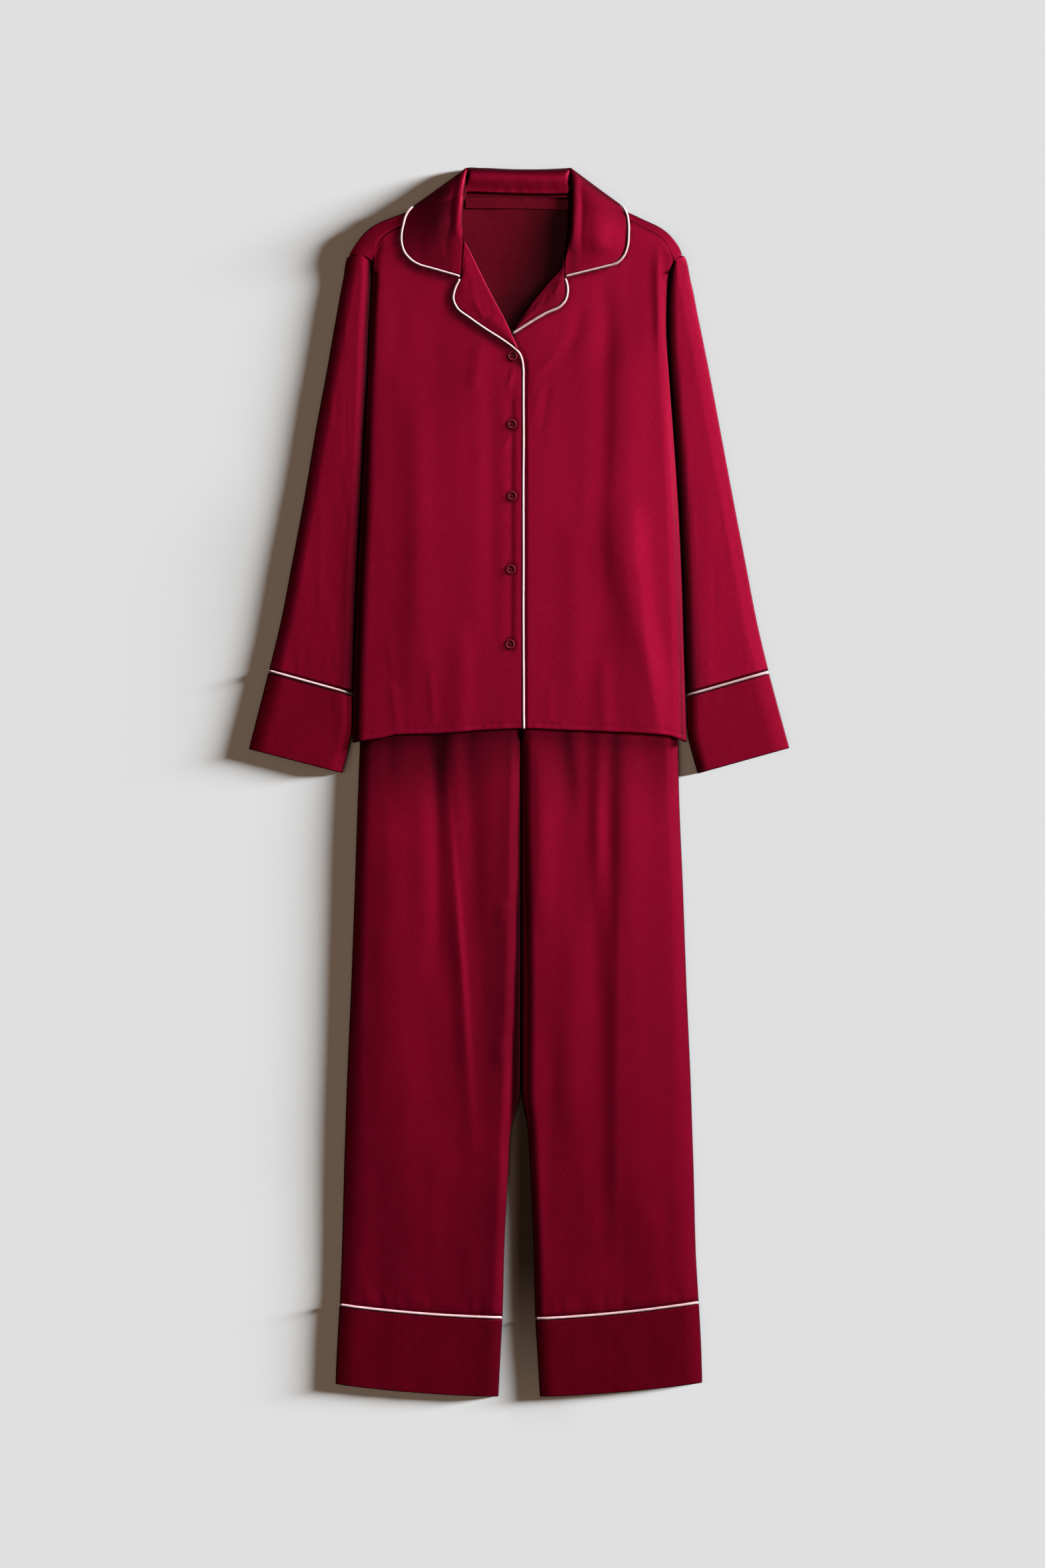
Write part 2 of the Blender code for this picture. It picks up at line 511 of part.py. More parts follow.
def make_back(material):
    """The back: a flat sheet that turns over each shoulder to the forward seam."""
    cut = Cut()
    body_rows = []
    for base in BODY_BACK_ROWS:
        y_edge = base if base else 52.0
        ends = (back_edge(-1, y_edge), back_edge(1, y_edge))
        row = []
        for share in BACK_COLUMNS:
            x = mix(*ends, share)
            y = base if base else read(HEM, x) + 3.0
            row.append((x, y, shirt_floor(x, y)))
        body_rows.append(row)
    numbers = cut.grid(body_rows)

    right_arm, middle, left_arm = RIGHT_ARM_COLUMNS, SHOULDER_COLUMNS, LEFT_ARM_COLUMNS
    shoulder_x = right_arm + middle + left_arm
    yoke_x = np.linspace(back_edge(-1, ARMHOLE_Y) + 1.5, back_edge(1, ARMHOLE_Y) - 1.5, len(middle))
    arm_row = [(x, max(read(ARMHOLE, x) + SEAM, ARMHOLE_Y + 1.0)) for x in right_arm]
    arm_row += [(x, ARMHOLE_Y) for x in yoke_x]
    arm_row += [(x, max(read(ARMHOLE, x) + SEAM, ARMHOLE_Y + 1.0)) for x in left_arm]
    arm_row = [(x, y, shirt_floor(x, y)) for x, y in arm_row]
    arm_numbers = cut.row(arm_row)
    body_top = numbers[-1]
    bridge = arm_numbers[len(right_arm):len(right_arm) + len(middle)]
    join_unlike_rows(cut, body_top, bridge)

    neck = tuple(shoulder_x.index(x) for x in NECK_COLUMNS)
    below = []
    for k, x in enumerate(shoulder_x):
        y = read(SHOULDER, x) - (SEAM if neck[0] <= k <= neck[1] else SHIRT_FOLD)
        below.append((x, y, shirt_floor(x, y)))
    below_numbers = cut.row(below)
    cut.skin(arm_numbers, below_numbers)

    count = len(shoulder_x)
    for first, last in ((0, neck[0]), (neck[-1], count - 1)):
        lower = below_numbers[first:last + 1]
        for angle in (-45.0, 0.0, 45.0, 90.0):
            turn = math.radians(angle)
            ring = []
            for x in shoulder_x[first:last + 1]:
                y = read(SHOULDER, x)
                base = shirt_floor(x, y)
                ring.append((x, y - SHIRT_FOLD * (1.0 - math.cos(turn)),
                             base + SHIRT_FOLD * (1.0 + math.sin(turn))))
            ring_numbers = cut.row(ring)
            cut.skin(lower, ring_numbers)
            lower = ring_numbers
        strip = []
        for x in shoulder_x[first:last + 1]:
            x = SEAM_NECK.get(x, x)
            on_arm = x < -166.0 or x > 174.4
            y = (read(ARMHOLE, x) if on_arm else read(FORWARD_SEAM, x)) + SEAM
            y = min(y, read(SHOULDER, x) - SHIRT_FOLD - 0.6)
            strip.append((x, y, shirt_top(x, y)))
        cut.skin(lower, cut.row(strip))
    return add_cloth("shirt_back", cut, material, flip=True)


def join_unlike_rows(cut, lower, upper):
    """Joins two rows with different numbers of points by triangles and quads."""
    near = [round(k * (len(lower) - 1) / (len(upper) - 1)) for k in range(len(upper))]
    for k in range(len(upper) - 1):
        a, b = near[k], near[k + 1]
        if a == b:
            cut.faces.append((lower[a], upper[k + 1], upper[k]))
        else:
            cut.faces.append((lower[a], lower[b], upper[k + 1], upper[k]))


def make_neck_tape(material):
    """The short tape across the inside of the back neck, under the collar seam."""
    cut = Cut()
    rows = []
    for drop in (14.0, 7.0, 0.4):
        row = []
        for x in np.linspace(-58.0, 53.0, 6):
            y = read(SHOULDER, x) - 1.0 - drop
            row.append((x, y, shirt_floor(x, y) + CLOTH + SEAM + CLOTH))
        rows.append(row)
    cut.grid(rows)
    return add_cloth("neck_tape", cut, material)


# ---- Flat tubes: sleeves, cuffs and waistband ---------------------------------

def tube_ring(seam, floor, folds, height, swells, bow=0.0, line=None):
    """A closed ring round a flattened tube along one seam line.

    folds and swells hold the outer and the inner value; bow lifts the middle of
    the line along Y, and line is a table that the ring follows instead.
    """
    outer = (seam.outer_x, seam.outer_y)
    inner = (seam.inner_x, seam.inner_y)
    width = math.dist(outer, inner)

    def place(distance, z):
        share = distance / width
        x, y = mix(outer, inner, share)
        y = read(line, x) - SEAM if line else y + bow * 4.0 * share * (1.0 - share)
        return (x, y, floor(y) + z)

    def top(distance):
        outer_top = 2.0 * folds[0] + (height - 2.0 * folds[0]) * swell((distance - folds[0]) / swells[0])
        back = width - distance
        inner_top = 2.0 * folds[1] + (height - 2.0 * folds[1]) * swell((back - folds[1]) / swells[1])
        return min(outer_top, inner_top)

    ring = [place(inward, 2.0 * folds[0] - drop) for inward, drop in reversed(curl(folds[0], math.pi))]
    start = min(swells[0], 0.3 * width)
    stops = [folds[0] + start * 0.3, folds[0] + start * 0.65, folds[0] + start]
    end = width - folds[1] - min(swells[1], 0.25 * width)
    stops += [mix(stops[-1], end, share) for share in (0.3, 0.55, 0.8)]
    stops += [end, mix(end, width - folds[1], 0.55)]
    ring += [place(distance, top(distance)) for distance in stops]
    ring += [place(width - inward, 2.0 * folds[1] - drop) for inward, drop in curl(folds[1], math.pi)]
    ring += [place(width * share, 0.0) for share in (0.66, 0.33)]
    return ring


def make_tube(name, rings, material, flip):
    """A tube of cloth through its rings, open at both ends."""
    cut = Cut()
    cut.grid([ring + [ring[0]] for ring in rings])
    count = len(rings[0])
    numbers = {}
    for r in range(len(rings)):
        numbers[r * (count + 1) + count] = r * (count + 1)
    cut.faces = [tuple(numbers.get(k, k) for k in face) for face in cut.faces]
    keep = [k for k in range(len(cut.points)) if k not in numbers]
    renumber = {old: new for new, old in enumerate(keep)}
    cut.points = [cut.points[k] for k in keep]
    cut.faces = [tuple(renumber[k] for k in face) for face in cut.faces]
    return add_cloth(name, cut, material, flip=flip)


def neck_floor(y):
    """Height of the floor under the sleeve heads, which lie on the collar's lift."""
    return NECK_LIFT * ramp(y, NECK_START, NECK_FULL)


def flat_floor(y):
    """Height of the surface that cuffs and legs lie on."""
    return 0.0


def make_sleeve(name, seams, material, flip):
    """One sleeve, whose top ring follows the bowed armhole seam."""
    rings = []
    for k, seam in enumerate(seams):
        line = ARMHOLE if k == 0 else None
        rings.append(tube_ring(seam, neck_floor, (SLEEVE_FOLD, SLEEVE_INNER_FOLD), SLEEVE_HEIGHT,
                               (24.0, 6.0), line=line))
    return make_tube(name, rings, material, flip)


def make_cuff(name, seams, height, bow, material, flip):
    """A deep turned-back cuff."""
    rings = [tube_ring(seam, flat_floor, (CUFF_FOLD, CUFF_FOLD), height, (16.0, 8.0), bow)
             for seam in seams]
    return make_tube(name, rings, material, flip)


def cuff_piping_path(seam, height, bow):
    """The piping's path over a cuff's top face, ending low on both side folds."""
    ring = tube_ring(seam, flat_floor, (CUFF_FOLD, CUFF_FOLD), height, (16.0, 8.0), bow)
    middle = ((seam.outer_x + seam.inner_x) / 2.0, (seam.outer_y + seam.inner_y) / 2.0)
    path = []
    for x, y, z in ring[2:-4]:
        px, py = towards((x, y), middle, 0.9 if z < 2.1 * CUFF_FOLD else 0.0001)
        path.append((px, py, max(z - 0.6, PIPING_RADIUS + 0.2)))
    return path


# ---- Collar, lapels and piping -----------------------------------------------

def collar_row(station):
    """The collar's section at one station: seam edge, stand, roll, fall and outer edge."""
    roll = (station.roll_x, station.roll_y)
    edge = (station.edge_x, station.edge_y)
    seam = (station.seam_x, station.seam_y)
    fold_z = NECK_LIFT + SHIRT_FOLD
    over = max(station.lay, 0.0)
    under = max(-station.lay, 0.0)

    def stand_z(x, y, share):
        on_front = shirt_top(x, y) - CLOTH / 2.0 + 0.4 * station.lift * share
        on_back = shirt_floor(0.0, 660.0) + CLOTH / 2.0 + 0.5 * share
        return fold_z + over * (on_front - fold_z) + under * (on_back - fold_z)

    def fall_z(x, y, share):
        on_front = shirt_top(x, y) + SEAM + PIPING_RADIUS + station.lift * (1.0 - share)
        on_floor = CLOTH / 2.0 + SEAM / 10.0
        return fold_z + over * (on_front - fold_z) + under * (on_floor - fold_z)

    inset = CLOTH / 2.0
    tip = towards(roll, edge, inset)
    fall = towards(roll, edge, inset + 2.2)
    flat_stand = towards(roll, edge, 0.6)
    stand = mix(flat_stand, towards(roll, seam, inset + 1.6), station.fold) if station.fold else flat_stand
    if not station.fold:
        tip = towards(roll, edge, 1.6)
    stand_height = mix(fall_z(*stand, 0.0), stand_z(*stand, 1.0), station.fold)
    row = [seam + (mix(fall_z(*seam, 0.0), stand_z(*seam, 0.0), station.fold),)]
    row.append(stand + (stand_height,))
    row.append(tip + (mix(fall_z(*tip, 0.0), (stand_height + fall_z(*fall, 0.0)) / 2.0, station.fold),))
    row.append(fall + (fall_z(*fall, 0.0),))
    for share in (0.2, 0.45, 0.72, 1.0):
        place = mix(fall, edge, share)
        row.append(place + (fall_z(*place, share),))
    return row


def make_collar(material):
    """The camp collar, stand and fall in one strip folded along its roll line."""
    cut = Cut()
    cut.grid([collar_row(station) for station in COLLAR])
    return add_cloth("collar", cut, material, flip=True, centred=True)


def move_sideways(path, distance, turn):
    """A path moved sideways in the plane: to its left where turn is 1."""
    moved = []
    for k, (x, y, z) in enumerate(path):
        before = path[max(k - 1, 0)]
        after = path[min(k + 1, len(path) - 1)]
        dx, dy = after[0] - before[0], after[1] - before[1]
        length = math.hypot(dx, dy)
        moved.append((x - turn * dy / length * distance, y + turn * dx / length * distance, z))
    return moved


def collar_piping_path(rows, turn):
    """The piping round one leaf: along the notch, round the point and up the free edge."""
    path = [rows[0][k] for k in (1, 3, 4, 5, 6)] + [row[-1] for row in rows]
    moved = move_sideways(path, PIPING_INSET, turn)
    behind, end = rows[-1][-2], rows[-1][-1]
    length = math.dist(end, behind)
    moved[-1] = tuple(p + (p - q) * PIPING_TURN_INSET / length for p, q in zip(end, behind))
    moved[-2] = move_sideways(path, PIPING_TURN_INSET, turn)[-2]
    return moved


def lapel_row(turn, dip):
    """A lapel's section: its turned edge round the front's neck edge, then out to its rim."""
    roll = (turn.roll_x, turn.roll_y)
    edge = (turn.edge_x, turn.edge_y)

    def face(x, y):
        return shirt_top(x, y) - (overlap_dip(x, y) if dip else 0.0)

    low = face(*roll) - CLOTH / 2.0
    high = face(*roll) + CLEAR + CLOTH / 2.0 + 0.9
    radius = (high - low) / 2.0
    row = []
    for angle in (-90.0, -45.0, 0.0, 45.0, 90.0):
        lean = math.radians(angle)
        inward = CLOTH / 2.0 + radius * (1.0 - math.cos(lean))
        row.append(towards(roll, edge, inward) + (low + radius * (1.0 + math.sin(lean)),))
    start = row[-1][:2]
    for share in (0.4, 0.75, 1.0):
        place = mix(start, edge, share)
        rim = face(*place) + SEAM + PIPING_RADIUS
        row.append(place + (mix(high - face(*roll) + face(*place), rim, share),))
    return row


def make_lapel(name, turns, material, flip, dip):
    """A facing turned out as a lapel."""
    cut = Cut()
    cut.grid([lapel_row(turn, dip) for turn in turns])
    return add_cloth(name, cut, material, flip=flip, centred=True)


def front_piping_path():
    """Piping round the right lapel and down the right front's edge."""
    path = []
    for x, y in FRONT_PIPING:
        on_lapel = ramp(y, 466.0, 492.0)
        lying = shirt_top(x, y) + SEAM + PIPING_RADIUS
        beside = shirt_top(x, y) - CLOTH / 2.0
        path.append((x, y, mix(beside, lying, on_lapel)))
    return path


def left_piping_path():
    """Piping round the left lapel, ending where the right lapel covers it."""
    return [(x, y, shirt_top(x, y) - overlap_dip(x, y) + SEAM + PIPING_RADIUS) for x, y in LEFT_PIPING]


# ---- Trousers -----------------------------------------------------------------

def trouser_top(table, side, x, y):
    """Height of the outer face of a trouser front."""
    outer_gap = (x - read_leg(table, y, "outer")) * -side
    inner_gap = (read_leg(table, y, "tip") - x) * -side
    height = 2.0 * TROUSER_FOLD + TROUSER_RISE
    height -= (height - WAIST_HEIGHT) * ramp(y, 235.0, WAIST_SEAM)
    outer_loft = swell((outer_gap - TROUSER_FOLD) / RIGHT_SIDE_REACH)
    outer = 2.0 * TROUSER_FOLD + (height - 2.0 * TROUSER_FOLD) * outer_loft
    ledge = read_leg(table, y, "ledge")
    inner_loft = swell((inner_gap - LEDGE_FOLD - ledge) / LEDGE_REACH)
    leg = 2.0 * LEDGE_FOLD + (height - 2.0 * LEDGE_FOLD) * inner_loft
    hip = height - CENTRE_VALLEY * (1.0 - swell(inner_gap / 12.0))
    inner = mix(leg, hip, ramp(y, CROTCH_Y, CENTRE_FLAT_Y))
    crest = x - read_leg(table, y, "ridge")
    depth = ramp(y, -430.0, -60.0)
    fold = depth * (0.7 * hump(crest, 7.0) - 0.7 * hump(crest - side * 17.0, 9.0))
    fold -= depth * 0.5 * hump(crest + side * 15.0, 8.0)
    return min(outer, inner) + fold * (1.0 - ramp(y, 235.0, WAIST_SEAM))


def leg_y(table, side, share, x):
    """Height of a column at a share of the way from the cuff seam to the waist seam."""
    piping = RIGHT_TROUSER_PIPING if side < 0 else LEFT_TROUSER_PIPING
    across = (x - piping.outer_x) / (piping.inner_x - piping.outer_x)
    bow = TROUSER_SEAM_BOW * 4.0 * across * (1.0 - across)
    low = mix(piping.outer_y, piping.inner_y, across) + bow + PIPING_INSET + LEG_CLEAR
    return mix(low, WAIST_SEAM - SEAM / 2.0, share)


def make_trouser_front(name, table, side, material):
    """A trouser front, wrapped round the outer fold and, below the crotch, the inner fold."""
    rows = []
    for share in LEG_ROWS:
        y_outer = leg_y(table, side, share, side * 200.0)
        outer = read_leg(table, y_outer, "outer")
        fold = curl(TROUSER_FOLD, math.pi, CURL_TAIL)
        row = []
        for inward, drop in reversed(fold):
            row.append((outer - side * inward, y_outer, 2.0 * TROUSER_FOLD - drop))
        y_inner = leg_y(table, side, share, side * 10.0)
        tip = read_leg(table, y_inner, "tip") + side * SEAM / 2.0
        turn = math.pi * (1.0 - ramp(y_inner, CROTCH_Y, CENTRE_FLAT_Y))
        inner_fold = curl(LEDGE_FOLD, turn, CURL_TAIL)
        start_x = tip + side * inner_fold[0][0]
        ledge = read_leg(table, y_inner, "ledge")
        crest = read_leg(table, mix(y_outer, y_inner, 0.5), "ridge")
        stops = [outer - side * 11.0, outer - side * 28.0, crest + side * 19.0, crest + side * 9.0,
                 crest, crest - side * 9.0, crest - side * 17.0]
        stops += [mix(crest, start_x, 0.6), start_x + side * (ledge + 10.0),
                  start_x + side * (ledge + 3.5), start_x + side * (0.9 * ledge + 0.6)]
        for x in stops:
            y = leg_y(table, side, share, x)
            row.append((x, y, trouser_top(table, side, x, y)))
        start_z = trouser_top(table, side, start_x, y_inner)
        for inward, drop in inner_fold:
            row.append((tip + side * inward, y_inner, start_z - drop))
        rows.append(row)
    cut = Cut()
    cut.grid(rows)
    return add_cloth(name, cut, material, flip=side > 0)


def make_trouser_back(name, table, side, material):
    """A trouser back: the flat sheet that the leg rests on."""
    rows = []
    for share in BACK_ROWS:
        y_outer = leg_y(table, side, share, side * 200.0)
        outer = read_leg(table, y_outer, "outer") - side * (TROUSER_FOLD + CURL_TAIL + SEAM)
        y_inner = leg_y(table, side, share, side * 10.0)
        inset = LEDGE_FOLD + CURL_TAIL + SEAM + CROTCH_EASE * ramp(y_inner, -140.0, -40.0)
        inset *= 1.0 - ramp(y_inner, CENTRE_FLAT_Y + 6.0, CENTRE_FLAT_Y + 30.0)
        inner = read_leg(table, y_inner, "tip") + side * (SEAM / 2.0 + inset)
        row = []
        for part in (0.0, 0.35, 0.7, 1.0):
            x = mix(outer, inner, part)
            row.append((x, leg_y(table, side, share, x), 0.0))
        rows.append(row)
    cut = Cut()
    cut.grid(rows)
    return add_cloth(name, cut, material, flip=side < 0)


# ---- Buttons ------------------------------------------------------------------

def make_button(name, place, material):
    """A round button with a raised rim, turned on its own axis."""
    dish = BUTTON_HEIGHT - BUTTON_DISH
    profile = [(0.0, dish), (BUTTON_RADIUS - 2.0 * BUTTON_RIM, dish),
               (BUTTON_RADIUS - BUTTON_RIM, BUTTON_HEIGHT), (BUTTON_RADIUS - 0.3, BUTTON_HEIGHT - 0.3),
               (BUTTON_RADIUS, BUTTON_HEIGHT / 2.0), (BUTTON_RADIUS - 0.5, 0.0), (0.0, 0.0)]
    points = [(radius, 0.0, height) for radius, height in profile]
    edges = [(k, k + 1) for k in range(len(points) - 1)]
    mesh = bpy.data.meshes.new(name)
    mesh.from_pydata([tuple(value * MM for value in point) for point in points], edges, [])
    mesh.materials.append(material)
    z = shirt_top(place.x, place.y) + SEAM
    button = place_piece(bpy.data.objects.new(name, mesh), place.x, place.y, z)
    turned = button.modifiers.new("Turned", "SCREW")
    turned.steps = BUTTON_SIDES
    turned.render_steps = BUTTON_SIDES
    turned.use_merge_vertices = True
    turned.merge_threshold = 0.00001
    return button


# ---- The set --------------------------------------------------------------------

def make_trousers(satin, piping):
    """Both legs, the waistband, the cuffs and their piping."""
    make_trouser_back("trouser_back_right", RIGHT_LEG, -1, satin)
    make_trouser_back("trouser_back_left", LEFT_LEG, 1, satin)
    make_trouser_front("trouser_front_right", RIGHT_LEG, -1, satin)
    make_trouser_front("trouser_front_left", LEFT_LEG, 1, satin)
    rings = [tube_ring(seam, flat_floor, (TROUSER_FOLD, TROUSER_FOLD), WAIST_HEIGHT, (20.0, 20.0))
             for seam in WAISTBAND]
    make_tube("trouser_waistband", rings, satin, flip=False)
    make_cuff("trouser_cuff_right", RIGHT_TROUSER_CUFF, TROUSER_CUFF_HEIGHT, TROUSER_SEAM_BOW, satin, True)
    make_cuff("trouser_cuff_left", LEFT_TROUSER_CUFF, TROUSER_CUFF_HEIGHT, TROUSER_SEAM_BOW, satin, False)
    for name, seam in (("trouser_cuff_piping_right", RIGHT_TROUSER_PIPING),
                       ("trouser_cuff_piping_left", LEFT_TROUSER_PIPING)):
        add_piping(name, cuff_piping_path(seam, TROUSER_CUFF_HEIGHT, TROUSER_SEAM_BOW), piping)


def make_shirt(satin, inside, piping, plastic):
    """The body, sleeves, collar, lapels, piping and buttons."""
    make_back(inside)
    make_front("shirt_front_right", -1, RIGHT_NECK, 652.0, RIGHT_COLUMNS, satin, False)
    make_front("shirt_front_left", 1, LEFT_NECK, 649.5, LEFT_COLUMNS, satin, True)
    make_neck_tape(satin)
    make_sleeve("sleeve_right", RIGHT_SLEEVE, satin, True)
    make_sleeve("sleeve_left", LEFT_SLEEVE, satin, False)
    make_cuff("sleeve_cuff_right", RIGHT_CUFF, CUFF_HEIGHT, 0.0, satin, True)
    make_cuff("sleeve_cuff_left", LEFT_CUFF, CUFF_HEIGHT, 0.0, satin, False)
    for name, seam in (("sleeve_cuff_piping_right", RIGHT_CUFF_PIPING),
                       ("sleeve_cuff_piping_left", LEFT_CUFF_PIPING)):
        add_piping(name, cuff_piping_path(seam, CUFF_HEIGHT, 0.0), piping)
    make_collar(satin)
    rows = [collar_row(station) for station in COLLAR]
    right_leaf = rows[:UNDER_SIDE_START + 1]
    left_leaf = rows[UNDER_SIDE_END:][::-1]
    add_piping("collar_piping_right", collar_piping_path(right_leaf, 1.0), piping)
    add_piping("collar_piping_left", collar_piping_path(left_leaf, -1.0), piping)
    make_lapel("lapel_right", RIGHT_LAPEL, satin, True, False)
    make_lapel("lapel_left", LEFT_LAPEL, satin, False, True)
    add_piping("front_piping_right", front_piping_path(), piping)
    add_piping("lapel_piping_left", left_piping_path(), piping)
    for number, place in enumerate(BUTTONS, start=1):
        make_button(f"button_{number}", place, plastic)


for leftover in list(bpy.data.objects):
    bpy.data.objects.remove(leftover)
PARTS = bpy.data.collections.new("Pyjama set")
bpy.context.scene.collection.children.link(PARTS)
satin_finish = new_finish(SATIN)
piping_finish = new_finish(PIPING)
make_trousers(satin_finish, piping_finish)
make_shirt(satin_finish, new_finish(SATIN_INSIDE), piping_finish, new_finish(BUTTON))
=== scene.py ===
"""The looks of a two-piece satin pyjama set laid out flat, the shirt over the trousers.

Sizes are in millimetres until a piece becomes a mesh, which is in metres.
X runs across the set towards the wearer's left, Y runs up it from the trouser
cuffs to the collar, and Z points up from the surface that it lies on.
"Right" and "left" are the wearer's, so the right side is at negative X.
"""

from __future__ import annotations

import logging
import math
from collections.abc import Callable, Sequence
from dataclasses import dataclass
from enum import Enum
from typing import NamedTuple

import bpy
import numpy as np
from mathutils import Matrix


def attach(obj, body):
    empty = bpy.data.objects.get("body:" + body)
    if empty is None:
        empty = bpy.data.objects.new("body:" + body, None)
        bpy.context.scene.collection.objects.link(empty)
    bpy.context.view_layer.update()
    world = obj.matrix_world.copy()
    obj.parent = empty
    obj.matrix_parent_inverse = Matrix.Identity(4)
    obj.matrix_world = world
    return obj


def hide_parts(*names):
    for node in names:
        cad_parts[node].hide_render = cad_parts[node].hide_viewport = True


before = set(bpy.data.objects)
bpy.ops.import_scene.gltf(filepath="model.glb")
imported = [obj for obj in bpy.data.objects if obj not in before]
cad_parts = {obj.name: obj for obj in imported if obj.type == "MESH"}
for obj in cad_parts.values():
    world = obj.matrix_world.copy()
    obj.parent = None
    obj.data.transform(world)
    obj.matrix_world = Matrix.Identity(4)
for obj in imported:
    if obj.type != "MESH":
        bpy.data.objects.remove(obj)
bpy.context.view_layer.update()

LOG = logging.getLogger("pyjama_set")

Array = np.ndarray
Piece = bpy.types.Object
Height = Callable[[Array, Array], Array]
Pair = tuple[float, float]
Triple = tuple[float, float, float]

MM = 0.001
# Where the record's zero lies in the set's own millimetres.
CENTRE = np.array([-0.25, 0.217, 0.0])

# ---- Cloth and seams ----
CLOTH = 1.6
WALL = 0.75
SEAM = 0.3
CLEAR = 0.5
PIPING_RADIUS = 1.45
PIPING_INSET = PIPING_RADIUS + SEAM
LEFT_PIPING_TUCK = 6.0
CURL_TAIL = 1.6
TOUCHING = 0.25
LOWEST = 0.02

# ---- Loft of the laid tubes ----
SHIRT_FOLD = 2.4
SHIRT_RISE = 1.7
TROUSER_FOLD = 2.0
TROUSER_RISE = 2.4
LEDGE_FOLD = 1.9
LEDGE_REACH = 10.0
RIGHT_SIDE_REACH = 7.5
LEG_SIDE_REACH = (26.0, 12.0)
LEFT_SIDE_REACH = 9.0
SHOULDER_REACH = 20.0
CENTRE_VALLEY = 1.2
SLEEVE_FOLD = 2.1
SLEEVE_INNER_FOLD = 2.7
SLEEVE_HEIGHT = 6.8
CUFF_FOLD = 2.3
CUFF_HEIGHT = 7.0
TROUSER_CUFF_HEIGHT = 6.6
WAIST_HEIGHT = 5.2

# ---- Where the shirt lies ----
OVER_TROUSERS = 7.7
EDGE_DROOP = 3.6
DROOP_REACH = 15.0
NECK_LIFT = 3.0
NECK_START = 560.0
NECK_FULL = 625.0
ARMHOLE_Y = 586.0
OVERLAP_DIP = 2.7

# ---- Trousers ----
WAIST_TOP = 330.0
WAIST_SEAM = 292.0
CROTCH_Y = 28.0
CENTRE_FLAT_Y = 68.0
CROTCH_EASE = 1.0
TROUSER_SEAM_BOW = -2.6


class Across(NamedTuple):
    """A point of a line that runs across the cloth."""

    x: float
    y: float


class Leg(NamedTuple):
    """A height on a leg: its folds, its inner ledge and its creased fold."""

    y: float
    outer: float
    tip: float
    ledge: float
    ridge: float


class Seam(NamedTuple):
    """A straight line round a laid tube, from its outer to its inner fold."""

    outer_x: float
    outer_y: float
    inner_x: float
    inner_y: float

    def share(self, x: Array) -> Array:
        """How far across the seam places are: 0 at its outer fold and 1 at its inner fold."""
        return (x - self.outer_x) / (self.inner_x - self.outer_x)

    def lowered(self, drop: float) -> Seam:
        """The seam, moved down the cloth."""
        return Seam(self.outer_x, self.outer_y - drop, self.inner_x, self.inner_y - drop)


class Station(NamedTuple):
    """One section of the collar: roll, outer edge and neck seam, and how it lies."""

    roll_x: float
    roll_y: float
    edge_x: float
    edge_y: float
    seam_x: float
    seam_y: float
    lay: float
    lift: float
    fold: float


class Turn(NamedTuple):
    """One section of a lapel, from its roll to its rim."""

    roll_x: float
    roll_y: float
    edge_x: float
    edge_y: float


class Side(Enum):
    """A side of the wearer, by the sign of X that it lies at."""

    RIGHT = -1
    LEFT = 1

    @property
    def word(self) -> str:
        """The side's name in a piece's name."""
        return self.name.lower()


# The two side edges of the shirt body, from the hem up to the armhole, as y and x.
BODY_RIGHT = [
    (40, -188.4), (130, -186.2), (230, -182.6), (302, -178.8), (392, -174.4), (450, -171.8),
    (512, -169.4), (560, -167), (575, -166.6), (587, -165.8), (640, -165.8),
]
BODY_LEFT = [
    (40, 188.9), (130, 186.1), (230, 183), (302, 179.7), (392, 173.9), (450, 169.7), (512, 166.2),
    (560, 167.4), (575, 170), (586, 174.2), (640, 174.2),
]
HEM = [Across(*row) for row in (
    (-188, 44.3), (-156, 48.8), (-140, 52.5), (-93, 53.7), (-35, 58), (8, 59.5), (46, 57.9),
    (130, 54.4), (168, 51.5), (189, 44.7),
)]
# The shoulder fold, which is the outline at the top of the body.
SHOULDER = [Across(*row) for row in (
    (-192.3, 592.5), (-184.7, 605.3), (-172, 620.3), (-160, 628.5), (-145, 634.9), (-124.9, 642),
    (-90, 651), (-62.5, 660.5), (57, 658.5), (90, 650), (110, 644), (120.5, 641.6), (140, 633),
    (157.3, 624.8), (167.8, 617.3), (174.5, 609.8), (179.8, 602.3), (183.3, 594),
)]
# Where the back, cut over the shoulder, is sewn to each front.
FORWARD_SEAM = [Across(*row) for row in (
    (-166, 586.4), (-160.5, 603.5), (-153.2, 613.5), (-133.7, 626), (-124.7, 631), (-90, 643.5),
    (-66, 652.5), (61, 650), (90, 642), (124.1, 631.5), (142.3, 622.5), (156.8, 613.5), (166, 603),
    (174.4, 586),
)]
# Top of each sleeve, along the armhole seam.
ARMHOLE = [Across(*row) for row in (
    (-192.3, 591.2), (-181.7, 593), (-172.7, 589.4), (-166, 585.4), (171.2, 576.5), (175.2, 584.8),
    (177.5, 588.8), (183.6, 592.4),
)]
# The visible neck fold of each front, from the bottom of the V up, and the
# neck seam above it, which the collar hides, as y and x.
RIGHT_NECK = [
    (300, 3.25), (462, 3.25), (484, -4), (505.5, -12.2), (527.3, -23.2), (554.3, -37.8),
    (583.5, -52.4), (606, -64), (618, -70.5), (636, -74.5), (652.5, -66),
]
LEFT_NECK = [
    (300, -16), (470, -16), (494, -11), (508, -4), (518.3, 3), (535.5, 14.6), (561, 34.8),
    (579.8, 52.4), (590, 56), (606, 62), (630, 69), (650, 61),
]
